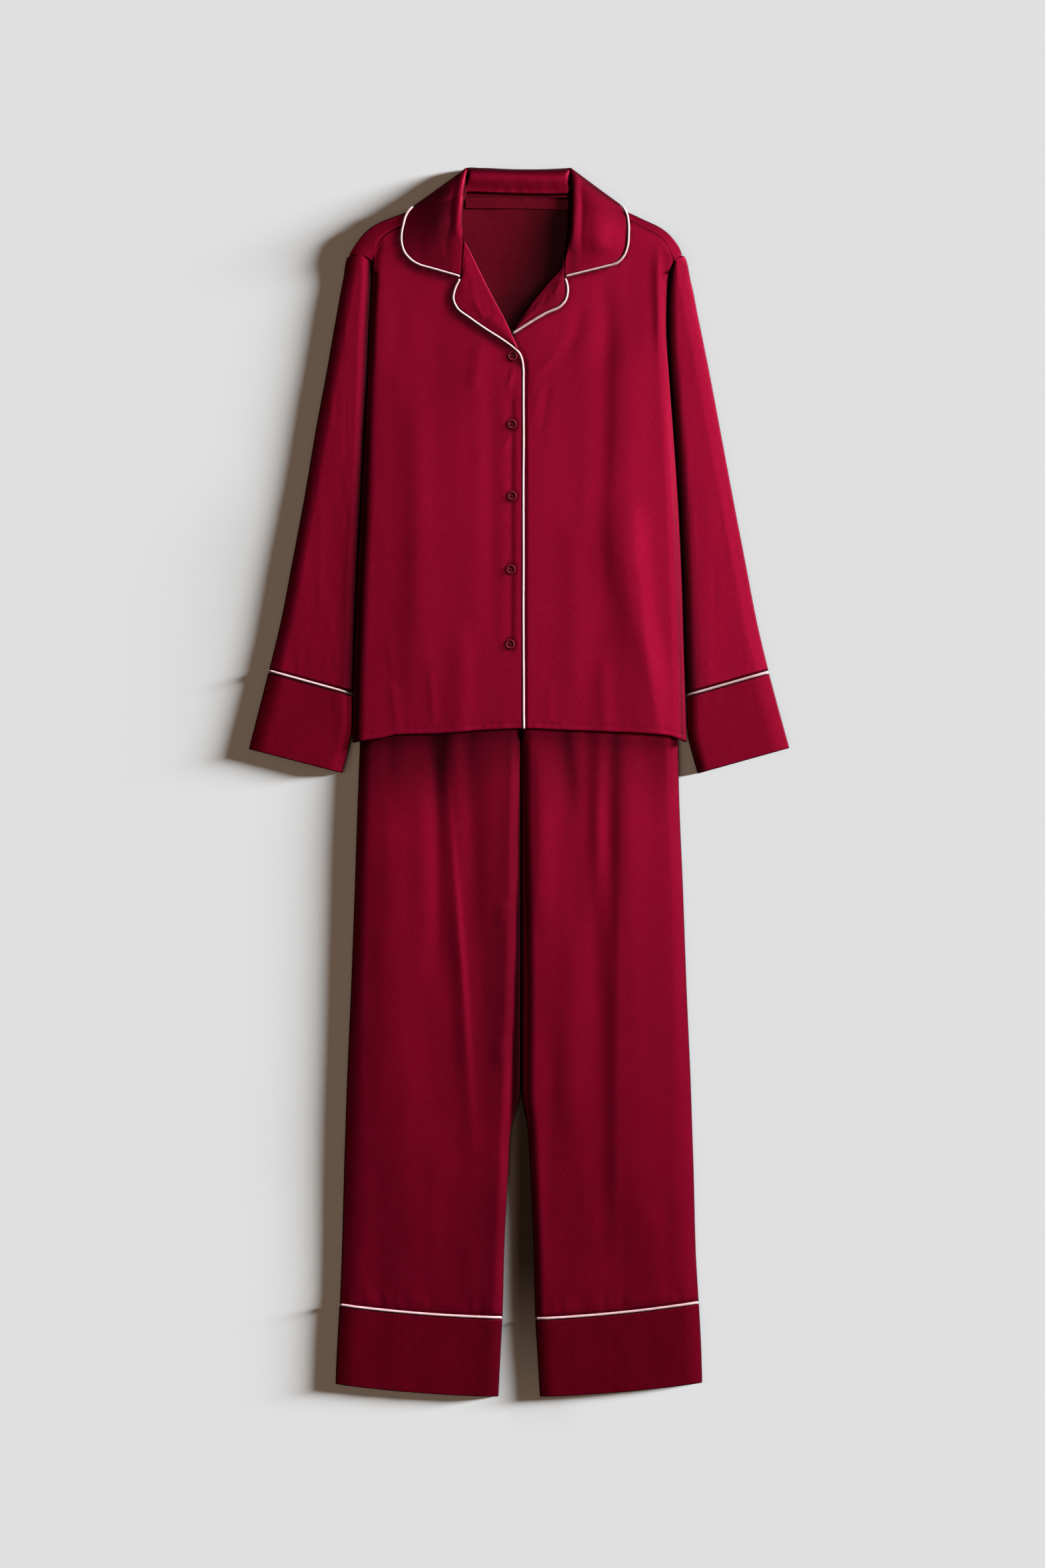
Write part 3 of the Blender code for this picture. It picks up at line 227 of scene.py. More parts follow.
# Each leg by height: outer fold, inner fold, width of the low ledge of cloth
# inside it, and the crest of the fold that runs down from the waist gathers.
RIGHT_LEG = [Leg(*row) for row in (
    (-700, -208, -24, 0, -62), (-603, -202.9, -18.9, 0, -57), (-523, -199.9, -16.7, 0, -53),
    (-433, -197.5, -12.2, 0, -49), (-395, -196.2, -10.1, 0.2, -49), (-343, -194.5, 0.8, 9.2, -51),
    (-230, -189.6, 1.2, 6, -58), (-118, -185.5, 1.4, 3.1, -65), (-28, -182.5, 1.5, 1, -70),
    (60, -179, 1.5, 0, -75), (140, -175, 1.5, 0, -77), (220, -168, 1.5, 0, -78),
    (330, -158, 1.5, 0, -78),
)]
LEFT_LEG = [Leg(*row) for row in (
    (-700, 207, 23.4, 0, 122), (-603, 203, 17.8, 0, 118), (-523, 198.6, 15.8, 0, 115),
    (-433, 196.3, 11.8, 0, 112), (-395, 195, 9.6, 0.2, 110), (-343, 193.3, 1.8, 4, 107),
    (-230, 188.4, 1.8, 4.7, 102), (-118, 184.3, 1.6, 2.9, 97), (-28, 180.5, 1.5, 1.1, 93),
    (60, 178, 1.5, 0, 91), (140, 174, 1.5, 0, 90), (220, 167, 1.5, 0, 90), (330, 157, 1.5, 0, 90),
)]

# Rows of seam lines across each sleeve, from the armhole down to the cuff.
RIGHT_SLEEVE = [Seam(*row) for row in (
    (-192.6, 590.6, -166.4, 585), (-198.4, 567, -167.25, 560), (-207.2, 519.8, -169.65, 512),
    (-217.7, 459.8, -172.05, 450), (-228, 405, -174.65, 392), (-243, 317, -179.05, 302),
    (-256, 248, -182.85, 230), (-270, 176, -185.7, 154), (-281.8, 127, -187.2, 100.8),
)]
LEFT_SLEEVE = [Seam(*row) for row in (
    (183.8, 592, 171.4, 575.8), (190.8, 572, 168, 560), (201.6, 523, 166.55, 512),
    (213.8, 462.8, 169.95, 450), (224.6, 406, 174.15, 392), (241.1, 318, 179.95, 302),
    (254.4, 249, 183.25, 230), (269.5, 172, 185.75, 148), (280.6, 125.6, 187.6, 99),
)]
RIGHT_CUFF = [Seam(*row) for row in (
    (-282.9, 123.2, -187.8, 97), (-294.5, 78, -188.6, 55), (-304.8, 37, -199.7, 9.8),
)]
LEFT_CUFF = [Seam(*row) for row in (
    (281.4, 122, 188.2, 95.3), (293.5, 77, 190.2, 50), (304.3, 38.2, 200.8, 9.3),
)]
RIGHT_CUFF_PIPING = Seam(-282.3, 125.1, -187.5, 98.9)
LEFT_CUFF_PIPING = Seam(281, 123.8, 187.9, 97.2)
RIGHT_TROUSER_CUFF = [Seam(*row) for row in (
    (-202.8, -590.4, -19, -604.8), (-205.4, -635, -21.4, -650), (-207.3, -678, -23.5, -692.2),
)]
LEFT_TROUSER_CUFF = [Seam(*row) for row in (
    (202.4, -587.6, 17.9, -606.2), (204.8, -633, 20.6, -649.5), (206.2, -676.5, 23, -692.2),
)]
RIGHT_TROUSER_PIPING = Seam(-202.7, -588.6, -18.9, -603)
LEFT_TROUSER_PIPING = Seam(202.3, -585.8, 17.8, -604.4)
WAISTBAND = [Seam(-160.8, WAIST_SEAM + SEAM, 159.8, WAIST_SEAM + SEAM),
             Seam(-158.6, 311, 157.6, 311), Seam(-157.8, WAIST_TOP, 156.8, WAIST_TOP)]

# Stations round the collar from the right notch, round the back of the neck, to
# the left notch.  lay is 1 where the fall lies on a front and -1 where it lies
# under the back; lift is how far the rolled edge stands above the outer edge;
# fold is 0 along the gorge, where the collar is one flat layer sewn to the
# lapel, and 1 where the stand is folded beneath the fall.
COLLAR = [Station(*row) for row in (
    (-66.4, 570.4, -111.9, 583.3, -66.4, 570.4, 1, 0, 0),
    (-65.6, 581, -119.9, 587.9, -65.6, 581, 1, 0.3, 0),
    (-65, 593, -127.6, 596.3, -65, 593, 1, 0.8, 0),
    (-64.4, 607, -131, 607.6, -64.4, 607, 1, 1.6, 0),
    (-63.4, 617.5, -130.9, 616.8, -66.5, 617.5, 1, 2.4, 0.6),
    (-63.2, 630, -129, 626.4, -71.2, 630, 1, 3, 1),
    (-62.6, 650, -126.4, 635.6, -65.4, 646, 1, 3, 1),
    (-61.8, 665, -123.6, 641, -61.3, 655.5, 0.9, 3, 1),
    (-60.6, 680, -119.6, 645.6, -60.5, 660, 0.6, 2.4, 1),
    (-58.9, 691.6, -117, 649, -61.6, 662, 0, 0, 1),
    (-56.6, 692.2, -113.6, 647.4, -60.4, 662.4, -0.6, 0, 1),
    (-53, 692.4, -103, 642.5, -57, 662.6, -1, 0, 1), (-44, 692.1, -82, 632, -46, 662.2, -1, 0, 1),
    (-22, 691.2, -36, 629, -22, 661.4, -1, 0, 1), (0, 690.6, 0, 628, 0, 660.8, -1, 0, 1),
    (22, 690.6, 35, 629, 21, 660.4, -1, 0, 1), (43, 691, 80, 632, 42, 660.2, -1, 0, 1),
    (51.6, 691.4, 99, 642.5, 52, 660.4, -1, 0, 1),
    (55.2, 691.5, 109, 648.6, 55.2, 660.6, -0.6, 0, 1),
    (57.4, 691.2, 112.4, 650.2, 56.4, 660.6, 0, 0, 1),
    (57.8, 680, 114.8, 646.8, 55.1, 659.2, 0.6, 2.4, 1),
    (57.1, 665, 117.2, 642.2, 55.4, 654.5, 0.9, 3, 1),
    (56.5, 651, 119.4, 637, 59.4, 646.5, 1, 3, 1), (56, 636, 120.6, 629.5, 64, 633, 1, 3, 1),
    (54.9, 617, 120.9, 616.1, 64.2, 617, 1, 2.6, 1), (53, 602, 119.7, 602.6, 56, 602, 1, 1.8, 0.6),
    (51.9, 591, 116.3, 593.4, 51.9, 591, 1, 1, 0), (50.8, 580, 109.5, 585.8, 50.8, 580, 1, 0.4, 0),
    (51, 570.3, 94.5, 580.9, 51, 570.3, 1, 0, 0),
)]
UNDER_SIDE_START = 9
UNDER_SIDE_END = 19

# Each lapel from the gorge seam down to its lower tip.
RIGHT_LAPEL = [Turn(*row) for row in (
    (-62.4, 610, -65, 569), (-56, 598.5, -65.6, 565.5), (-50, 587, -71, 553.8),
    (-43, 573, -72.8, 543.7), (-36, 559, -69.6, 535.5), (-27.5, 543, -54.4, 523),
    (-18.5, 526.3, -36.2, 510.4), (-10.8, 510.5, -20, 500.1), (-6.4, 500.4, -10.4, 493.4),
    (-3.4, 493.6, -5.2, 489.9), (-1.2, 488.4, -2, 487),
)]
LEFT_LAPEL = [Turn(*row) for row in (
    (50.2, 591, 50, 570), (47.3, 579.5, 49.8, 566.5), (40, 571, 51.9, 559.3),
    (32, 562.6, 52, 549.2), (25, 554, 50.3, 543.2), (18.5, 546, 46.7, 538.3),
    (11, 536.5, 26.6, 527.6), (5, 527.6, 13, 520.4), (-1.3, 518.6, 4.8, 514.6),
    (-6.3, 510.8, -3.2, 508.8),
)]
FRONT_PIPING = [Across(*row) for row in (
    (-67.3, 565.6), (-72.7, 554.3), (-74.5, 543.5), (-70.9, 534.3), (-55.4, 521.6), (-37.2, 508.9),
    (-19, 497.3), (-6.3, 488), (0, 482.2), (3.6, 474), (5, 463), (5, 450), (5, 392), (5, 368),
    (5, 345), (5, 302), (5, 230), (5, 175), (5.1, 130), (5.3, 85), (5.6, 60),
)]
LEFT_PIPING = [Across(*row) for row in (
    (51.6, 566), (53.6, 559.5), (53.8, 549), (51.9, 542.5), (47.6, 536.7), (27.5, 526.1), (12, 517),
    (-3.2, 507.4),
)]
BUTTONS = [Across(*row) for row in (
    (-8, 479.2), (-8.6, 402.1), (-8.5, 321.2), (-9.9, 238.7), (-10.7, 154.6),
)]


# ---- Numbers ----

def ramp(value: Array | float, start: float, end: float) -> Array:
    """0 before start, 1 past end, and a smooth step between them."""
    t = np.clip((np.asarray(value, float) - start) / (end - start), 0, 1)
    return t * t * (3 - 2 * t)


def swell(t: Array | float) -> Array:
    """The soft rise of a laid edge: steep at 0 and level from 1 on."""
    return 1 - (1 - np.clip(t, 0, 1)) ** 2


def mix(a: Array | float, b: Array | float, t: Array | float) -> Array | float:
    """The value or point a share t of the way from a to b."""
    return a + (b - a) * t


def bowed(bow: float, share: Array) -> Array:
    """How far a seam that bows by its middle stands off, at shares of its length."""
    return bow * 4 * share * (1 - share)


def lengths(steps: Array) -> Array:
    """The length of each step, whose parts are on the last axis."""
    return np.sqrt((steps ** 2).sum(axis=-1))


def add_up(steps: Array) -> Array:
    """The running total of steps, from 0 on."""
    return np.concatenate([[0.0], np.cumsum(steps)])


def hump(offset: Array | float, width: float) -> Array:
    """A soft ridge across a fold, 1 on its crest."""
    return np.exp(-(np.asarray(offset, float) / width) ** 2)


def slopes(keys: Array, values: Array, keep_level: bool) -> Array:
    """Slopes of a smooth line at its keys.

    Args:
        keys: rising numbers.
        values: one row of values for each key.
        keep_level: whether the line may never overshoot its values.

    Returns:
        One slope for each value.
    """
    gap = np.diff(keys).reshape((-1,) + (1,) * (values.ndim - 1))
    rise = np.diff(values, axis=0) / gap
    if len(keys) == 2:
        return np.concatenate([rise, rise])
    before, after = rise[:-1], rise[1:]
    if keep_level:
        one, two = 2 * gap[1:] + gap[:-1], gap[1:] + 2 * gap[:-1]
        same = before * after > 0
        inner = np.where(same, (one + two) / (one / np.where(same, before, 1)
                                              + two / np.where(same, after, 1)), 0)
    else:
        inner = (before * gap[1:] + after * gap[:-1]) / (gap[1:] + gap[:-1])
    return np.concatenate([rise[:1], inner, rise[-1:]])


def read_smooth(keys: Array, values: Array, at: Array, keep_level: bool = True) -> Array:
    """Reads a smooth line through values at any keys.

    Args:
        keys: rising numbers.
        values: one row of values for each key.
        at: the keys to read at, held within the line's ends.
        keep_level: whether the line may never overshoot its values.

    Returns:
        The values at the keys asked for.
    """
    at = np.clip(np.asarray(at, float), keys[0], keys[-1])
    slope = slopes(keys, values, keep_level)
    k = np.clip(np.searchsorted(keys, at, side="right") - 1, 0, len(keys) - 2)
    shape = at.shape + (1,) * (values.ndim - 1)
    gap = (keys[k + 1] - keys[k]).reshape(shape)
    t = ((at - keys[k]) / (keys[k + 1] - keys[k])).reshape(shape)
    return ((1 + 2 * t) * (1 - t) ** 2 * values[k] + t * (1 - t) ** 2 * gap * slope[k]
            + t * t * (3 - 2 * t) * values[k + 1] + t * t * (t - 1) * gap * slope[k + 1])


class Table:
    """A smooth line through one column of a table against another."""

    def __init__(self, rows: Sequence[tuple], value: int = 1, key: int = 0) -> None:
        """Sorts the rows by their key."""
        pairs = sorted((row[key], row[value]) for row in rows)
        self.keys = np.array([pair[0] for pair in pairs], float)
        self.values = np.array([pair[1] for pair in pairs], float)

    def __call__(self, at: Array | float) -> Array:
        """The value at a key."""
        return read_smooth(self.keys, self.values, np.asarray(at, float))


def densify(points: Array, count: int, even: float = 1.0) -> Array:
    """Puts more rows through a few rows of points.

    Args:
        points: rows of points, as (row, column, axis) or (point, axis).
        count: how many rows to return.
        even: 1 spaces the new rows evenly, and 0 as the given rows are spaced.

    Returns:
        The new rows, on a smooth line through the given ones.
    """
    step = lengths(np.diff(points, axis=0))
    step = step if step.ndim == 1 else step.mean(axis=1)
    keys = add_up(np.maximum(step, 1e-6))
    given = np.interp(np.linspace(0, len(keys) - 1, count), np.arange(len(keys)), keys)
    return read_smooth(keys, points, mix(given, np.linspace(0, keys[-1], count), even), False)


def towards(start: Array, end: Array, distance: float | Array) -> Array:
    """The points at a distance from start along the lines to end."""
    way = end - start
    return start + way / lengths(way)[..., None] * np.asarray(distance, float)[..., None]


def curl(radius: float, turn: float, count: int, tail: float = 0.0) -> Array:
    """Points down a rounded edge of fixed length, as (distance in, drop, angle turned).

    Args:
        radius: the fold's radius when it has turned right round.
        turn: the angle that the cloth has turned through at its end.
        count: how many points there are round the bend.
        tail: how far the cloth runs straight on past the bend.

    Returns:
        One row for each point, from the top of the bend down.
    """
    length = math.pi * radius
    bend = max(turn, 0.02) / length
    angle = bend * np.linspace(0, length, count)
    out, drop = np.sin(angle) / bend, (1 - np.cos(angle)) / bend
    if tail:
        out = np.append(out, out[-1] + tail * math.cos(turn))
        drop = np.append(drop, drop[-1] + tail * math.sin(turn))
        angle = np.append(angle, angle[-1])
    return np.stack([out.max() - out, drop, angle], axis=1)


def drift(x: Array, y: Array, wide: float, high: float, seed: int) -> Array:
    """Soft uneven waves of cloth, from -1 to 1, the same on every run.

    Args:
        x: places across.
        y: places up.
        wide: size of a wave across.
        high: size of a wave up.
        seed: which set of waves.

    Returns:
        The waves' height at each place.
    """
    grid = np.random.default_rng(seed).uniform(-1, 1, (64, 64))
    u, v = np.asarray(x, float) / wide + 32.37, np.asarray(y, float) / high + 32.61
    i, j = np.floor(u).astype(int), np.floor(v).astype(int)
    p, q = u - i, v - j
    p, q = p * p * (3 - 2 * p), q * q * (3 - 2 * q)
    i, j = i % 63, j % 63
    low = grid[j, i] * (1 - p) + grid[j, i + 1] * p
    return low * (1 - q) + (grid[j + 1, i] * (1 - p) + grid[j + 1, i + 1] * p) * q


@dataclass(frozen=True)
class Crease:
    """A fold in the cloth, drawn as a line that runs up it.

    It stands up as a ridge, or sinks as a trough where its rise is negative,
    and falls away over its width on the right and on the left of the line.
    """

    path: tuple[Pair, ...]
    rise: float
    left: float
    right: float
    fade: float = 25.0

    def height(self, x: Array, y: Array) -> Array:
        """The crease's height at places on the cloth.

        Args:
            x: places across.
            y: places up.

        Returns:
            The height at each place.
        """
        path = densify(np.array(self.path, float), 4 * len(self.path))
        nearest = np.full(np.shape(x), 1e9)
        side = np.zeros(np.shape(x))
        along = np.zeros(np.shape(x))
        run = 0
        for start, end in zip(path[:-1], path[1:]):
            way = end - start
            length = math.hypot(*way)
            t = np.clip(((x - start[0]) * way[0] + (y - start[1]) * way[1]) / length ** 2, 0, 1)
            dx, dy = x - start[0] - t * way[0], y - start[1] - t * way[1]
            away = np.hypot(dx, dy)
            closer = away < nearest
            nearest = np.where(closer, away, nearest)
            side = np.where(closer, way[0] * dy - way[1] * dx, side)
            along = np.where(closer, run + t * length, along)
            run += length
        width = np.where(side > 0, self.left, self.right)
        fade = min(self.fade, run / 2)
        return (self.rise * np.exp(-(nearest / width) ** 2)
                * ramp(along, 0, fade) * ramp(run - along, 0, fade))


def relief(creases: Sequence[Crease], x: Array, y: Array) -> Array:
    """The summed height of creases at places on the cloth.

    Args:
        creases: the creases.
        x: places across.
        y: places up.

    Returns:
        The height at each place.
    """
    total = np.zeros(np.shape(x))
    for crease in creases:
        total = total + crease.height(x, y)
    return total


RIGHT_EDGE, LEFT_EDGE = Table(BODY_RIGHT), Table(BODY_LEFT)
HEM_LINE, SHOULDER_LINE = Table(HEM), Table(SHOULDER)
FORWARD_LINE, ARMHOLE_LINE = Table(FORWARD_SEAM), Table(ARMHOLE)
RIGHT_NECK_LINE, LEFT_NECK_LINE = Table(RIGHT_NECK), Table(LEFT_NECK)


# ---- Finishes ----

# The mesh attribute that holds painted shade, and the near-black red that it paints: cracks,
# creases, rolled edges and places under other parts are darkened towards it.
PAINTED_SHADE_MARK = "folded"
PAINTED_SHADE_COLOUR = (0.006, 0.0003, 0.001)


def fill(tree: bpy.types.NodeTree, socket: bpy.types.NodeSocket, value: object) -> None:
    """Links a socket or a shader value to a node's socket, or sets the socket to a plain value.

    Args:
        tree: the tree that both are in.
        socket: the socket to fill.
        value: what it gets.
    """
    value = value.socket if isinstance(value, Sock) else value
    if isinstance(value, bpy.types.NodeSocket):
        tree.links.new(value, socket)
    else:
        socket.default_value = value


def lay_node(tree: bpy.types.NodeTree, kind: str, settings: dict[str, object] | None,
             values: dict[str, object]) -> bpy.types.Node:
    """Adds a node to a tree, sets its settings and then fills its sockets.

    Args:
        tree: the tree that it goes in.
        kind: the node's type.
        settings: the node's own settings.
        values: values or links of its sockets, by name with _ for a space.

    Returns:
        The node.
    """
    node = tree.nodes.new(kind)
    for name, value in (settings or {}).items():
        setattr(node, name, value)
    for name, value in values.items():
        fill(tree, node.inputs[name.replace("_", " ")], value)
    return node


class Sock:
    """A shader value that can be written in Python sums."""

    def __init__(self, tree: bpy.types.NodeTree, socket: bpy.types.NodeSocket) -> None:
        """Wraps one output of a node."""
        self.tree = tree
        self.socket = socket

    def _math(self, operation: str, first: Sock | float, second: Sock | float,
              clamp: bool = False) -> Sock:
        """Adds one Math node.

        Args:
            operation: the node's operation.
            first: its first value.
            second: its second value.
            clamp: whether the result is held from 0 to 1.

        Returns:
            The node's result.
        """
        settings = {"operation": operation, "use_clamp": clamp}
        node = lay_node(self.tree, "ShaderNodeMath", settings, {})
        fill(self.tree, node.inputs[0], first)
        fill(self.tree, node.inputs[1], second)
        return Sock(self.tree, node.outputs[0])

    def __add__(self, other: Sock | float) -> Sock:
        """This value plus another."""
        return self._math("ADD", self, other)

    def __sub__(self, other: Sock | float) -> Sock:
        """This value less another."""
        return self._math("SUBTRACT", self, other)

    def __rsub__(self, other: float) -> Sock:
        """A number less this value."""
        return self._math("SUBTRACT", other, self)

    def __mul__(self, other: Sock | float) -> Sock:
        """This value times another."""
        return self._math("MULTIPLY", self, other)

    def held(self) -> Sock:
        """This value held from 0 to 1."""
        return self._math("ADD", self, 0, clamp=True)

    def eased(self) -> Sock:
        """This value held from 0 to 1, easing in and out."""
        share = self.held()
        return share * share * (3 - share * 2)

    __radd__ = __add__
    __rmul__ = __mul__


class Shader:
    """A material's nodes, laid one by one."""

    def __init__(self, name: str) -> None:
        """Starts a material that has one Principled shader."""
        self.material = bpy.data.materials.new(name)
        self.material.use_nodes = True
        self.tree = self.material.node_tree
        self.surface = self.tree.nodes["Principled BSDF"]

    def node(self, kind: str, output: str | int = 0, settings: dict[str, object] | None = None,
             **values: object) -> Sock:
        """Adds a node, sets its settings and then its sockets.

        Args:
            kind: the node's type, without its first word.
            output: the output to return.
            settings: the node's own settings.
            **values: values or links of its sockets, by name with _ for a space.

        Returns:
            The output asked for.
        """
        node = lay_node(self.tree, "ShaderNode" + kind, settings, values)
        return Sock(self.tree, node.outputs[output])

    def fibres(self, scale: Triple, detail: float = 2.0) -> Sock:
        """Noise stretched along the cloth's own threads.

        Args:
            scale: repeats in a metre, across the warp, along it and in depth.
            detail: how many finer layers the noise has.

        Returns:
            Noise round one half.
        """
        place = self.node("TexCoord", "UV")
        stretched = self.node("Mapping", Vector=place, Scale=scale)
        return self.node("TexNoise", "Fac", Vector=stretched, Scale=1, Detail=detail,
                         Roughness=0.55)

    def waves(self, scale: Triple, angle: float = 0.0) -> Sock:
        """Even ribs across the cloth's own threads, from 0 to 1.

        Args:
            scale: repeats in a metre on the two directions of the cloth.
            angle: how far the ribs are turned in the cloth.

        Returns:
            The ribs' height.
        """
        place = self.node("TexCoord", "UV")
        turned = self.node("Mapping", Vector=place, Rotation=(0, 0, angle), Scale=scale)
        return self.node("TexWave", "Fac", Vector=turned, Scale=1, Distortion=0.6, Detail=1)

    def blend(self, share: Sock, low: Sock | Triple, high: Triple) -> Sock:
        """A colour between two by a share.

        Args:
            share: how much of the second colour there is.
            low: the colour at 0.
            high: the colour at 1.

        Returns:
            The colour.
        """
        node = lay_node(self.tree, "ShaderNodeMix", {"data_type": "RGBA"}, {"Factor": share})
        colours = [socket for socket in node.inputs if socket.type == "RGBA"]
        for socket, colour in zip(colours, (low, high)):
            fill(self.tree, socket, colour if isinstance(colour, Sock) else (*colour, 1))
        result = next(socket for socket in node.outputs if socket.type == "RGBA")
        return Sock(self.tree, result)

    def dress(self, **values: object) -> None:
        """Sets or links sockets of the surface, by name with _ for a space."""
        for name, value in values.items():
            fill(self.tree, self.surface.inputs[name.replace("_", " ")], value)

    def bump(self, height: Sock, strength: float, distance: float) -> None:
        """Lets a height push the surface's normal, with its distance in metres."""
        self.dress(Normal=self.node("Bump", Height=height, Strength=strength, Distance=distance))


@dataclass(frozen=True)
class Satin:
    """Woven satin: a soft sheen off long warp threads over a fine weave, with shade painted into
    its colour where its mesh marks it.
    """

    name: str
    shade: Triple
    light: Triple
    roughness: float
    metallic: float
    specular: float
    grain: float
    sparkle: float = 0.0
    painted_shade_depth: float = 0.92

    def make(self) -> bpy.types.Material:
        """Builds the satin's material.

        Returns:
            The material.
        """
        shader = Shader(self.name)
        warp = shader.fibres((900, 130, 1))
        weft = shader.fibres((240, 1500, 1))
        mottle = shader.fibres((38, 16, 1), 3)
        threads = warp * 0.55 + weft * 0.25 + mottle * 0.2
        share = ((threads - 0.5) * (1 + 2 * self.grain) * 2 + 0.5).held()
        # Painted shade: the mesh attribute darkens the satin's colour towards a near-black red.
        folded = shader.node("Attribute", "Fac", settings={"attribute_name": PAINTED_SHADE_MARK})
        satin = shader.blend(share, self.shade, self.light)
        shader.dress(Base_Color=shader.blend(folded * self.painted_shade_depth, satin, PAINTED_SHADE_COLOUR))
        rough = self.roughness + (weft - 0.5) * 0.16 + (mottle - 0.5) * 0.12
        if self.sparkle:
            glint = shader.fibres((1300, 1300, 1), 1)
            rough = rough - ((glint - 0.62) * 8).held() * self.sparkle
        shader.dress(Roughness=rough.held(), Metallic=self.metallic,
                     Specular_IOR_Level=self.specular, Sheen_Weight=0)
        weave = shader.waves((2600, 2600, 1), 0.5)
        height = warp * 0.6 + weft * 0.4 + weave * 0.12 + mottle * 1.4
        shader.bump(height, 0.5, 0.00022 * self.grain)
        return shader.material


@dataclass(frozen=True)
class CordCloth:
    """Satin cut on the bias and wrapped round a cord, with its slanting weave."""

    name: str
    shade: Triple
    light: Triple
    roughness: float = 0.5

    def make(self) -> bpy.types.Material:
        """Builds the piping's material.

        Returns:
            The material.
        """
        shader = Shader(self.name)
        ribs = shader.waves((520, 520, 1), 0.85)
        wear = shader.fibres((160, 90, 1), 3)
        share = (ribs * 0.45 + wear * 0.75 - 0.1).held()
        shader.dress(Base_Color=shader.blend(share, self.shade, self.light),
                     Roughness=(self.roughness + (wear - 0.5) * 0.25).held(),
                     Specular_IOR_Level=0.35)
        shader.bump(ribs * 0.7 + wear * 0.4, 0.4, 0.00014)
        return shader.material


@dataclass(frozen=True)
class Thread:
    """Sewing thread, twisted from fine plies."""

    name: str
    shade: Triple
    light: Triple
    roughness: float = 0.55

    def make(self) -> bpy.types.Material:
        """Builds the thread's material.

        Returns:
            The material.
        """
        shader = Shader(self.name)
        place = shader.node("TexCoord", "Object")
        plies = shader.node("TexNoise", "Fac", Vector=place, Scale=2600, Detail=1)
        shader.dress(Base_Color=shader.blend(plies, self.shade, self.light),
                     Roughness=self.roughness, Specular_IOR_Level=0.15)
        shader.bump(plies, 0.4, 0.0001)
        return shader.material


@dataclass(frozen=True)
class Resin:
    """Polished button resin with faint clouds and a few handling marks."""

    name: str
    shade: Triple
    light: Triple
    roughness: float = 0.46

    def make(self) -> bpy.types.Material:
        """Builds the button's material.

        Returns:
            The material.
        """
        shader = Shader(self.name)
        place = shader.node("TexCoord", "Object")
        clouds = shader.node("TexNoise", "Fac", Vector=place, Scale=420, Detail=3)
        marks = shader.node("TexNoise", "Fac", Vector=place, Scale=3000, Detail=2)
        shader.dress(Base_Color=shader.blend(clouds, self.shade, self.light),
                     Roughness=(self.roughness + (marks - 0.5) * 0.2).held(),
                     Specular_IOR_Level=0.05)
        shader.bump(marks, 0.15, 0.00006)
        return shader.material


@dataclass(frozen=True)
class Plaster:
    """The pale floor, with a shadow painted on it between the two legs."""

    name: str = "pale_floor"
    colour: Triple = (0.8, 0.8, 0.8)
    painted_shadow: Triple = (0.035, 0.006, 0.004)
    shade: float = 0.93
    right: float = -0.030
    left: float = 0.075
    low: float = -0.745
    sides: float = 30.0
    low_end: float = 4.6
    high_end: float = 8.0

    def make(self) -> bpy.types.Material:
        """Builds the floor's material.

        Returns:
            The material.
        """
        shader = Shader(self.name)
        place = shader.node("TexCoord", "Object")
        x, y = (shader.node("SeparateXYZ", axis, Vector=place) for axis in "XY")
        # Painted shadow: between the trouser legs the floor's colour is darkened towards a dark
        # brown, fading at the ends of the band.
        across = ((x - self.right) * self.sides).eased() * ((self.left - x) * self.sides).held()
        up = ((y - self.low) * self.low_end).eased() * (y * -self.high_end).held()
        shader.dress(Base_Color=shader.blend(across * up * self.shade, self.colour, self.painted_shadow),
                     Roughness=0.9, Specular_IOR_Level=0)
        return shader.material


SATIN = Satin("burgundy_satin", (0.190, 0.0012, 0.0160), (0.241, 0.0020, 0.0220),
              roughness=0.45, metallic=0.76, specular=0.07, grain=0.45)
SATIN_CUFF = Satin("burgundy_satin_doubled", (0.150, 0.0009, 0.0115), (0.195, 0.0015, 0.0155),
                   roughness=0.46, metallic=0.76, specular=0.06, grain=0.6)
# The inside satin is the dull wrong side of the cloth; its darker colour also stands in for the
# deeper shade inside the neck.
SATIN_INSIDE = Satin("burgundy_satin_inside", (0.115, 0.0008, 0.0085), (0.17, 0.0014, 0.0135),
                     roughness=0.62, metallic=0.3, specular=0.05, grain=0.7, sparkle=0.25)
PIPING = CordCloth("blush_piping", (0.670, 0.390, 0.417), (0.785, 0.510, 0.538))
SEWING = Thread("burgundy_thread", (0.11, 0.002, 0.009), (0.20, 0.006, 0.020))
BUTTON = Resin("wine_button", (0.105, 0.004, 0.012), (0.200, 0.010, 0.024))


# ---- Meshes ----

# Shade painted where cloth turns on edge: how dark it is at most, and over what range of one less
# the normal's upright part it comes in.
EDGE_SHADE = 0.85
EDGE_TURN = (0.012, 0.17)
CORD_SHOULDER = 0.75
CORD_DOME = 0.35
CORD_TIP = 0.3
# From one stitch to the next, a stitch's length, and the thread's radius.
STITCH = {"Pitch": 3.2, "Length": 2.3, "Thread": 0.24}


def corners(rows: int, cells: int) -> tuple[Array, Array]:
    """The row and the column of each corner of a grid's faces.

    Args:
        rows: how many rows of points the grid has.
        cells: how many faces lie along a row.

    Returns:
        Both as whole numbers, as (face, corner).
    """
    r, c = np.meshgrid(np.arange(rows - 1), np.arange(cells), indexing="ij")
    r, c = r.ravel(), c.ravel()
    return np.stack([r, r, r + 1, r + 1], axis=1), np.stack([c, c + 1, c + 1, c], axis=1)


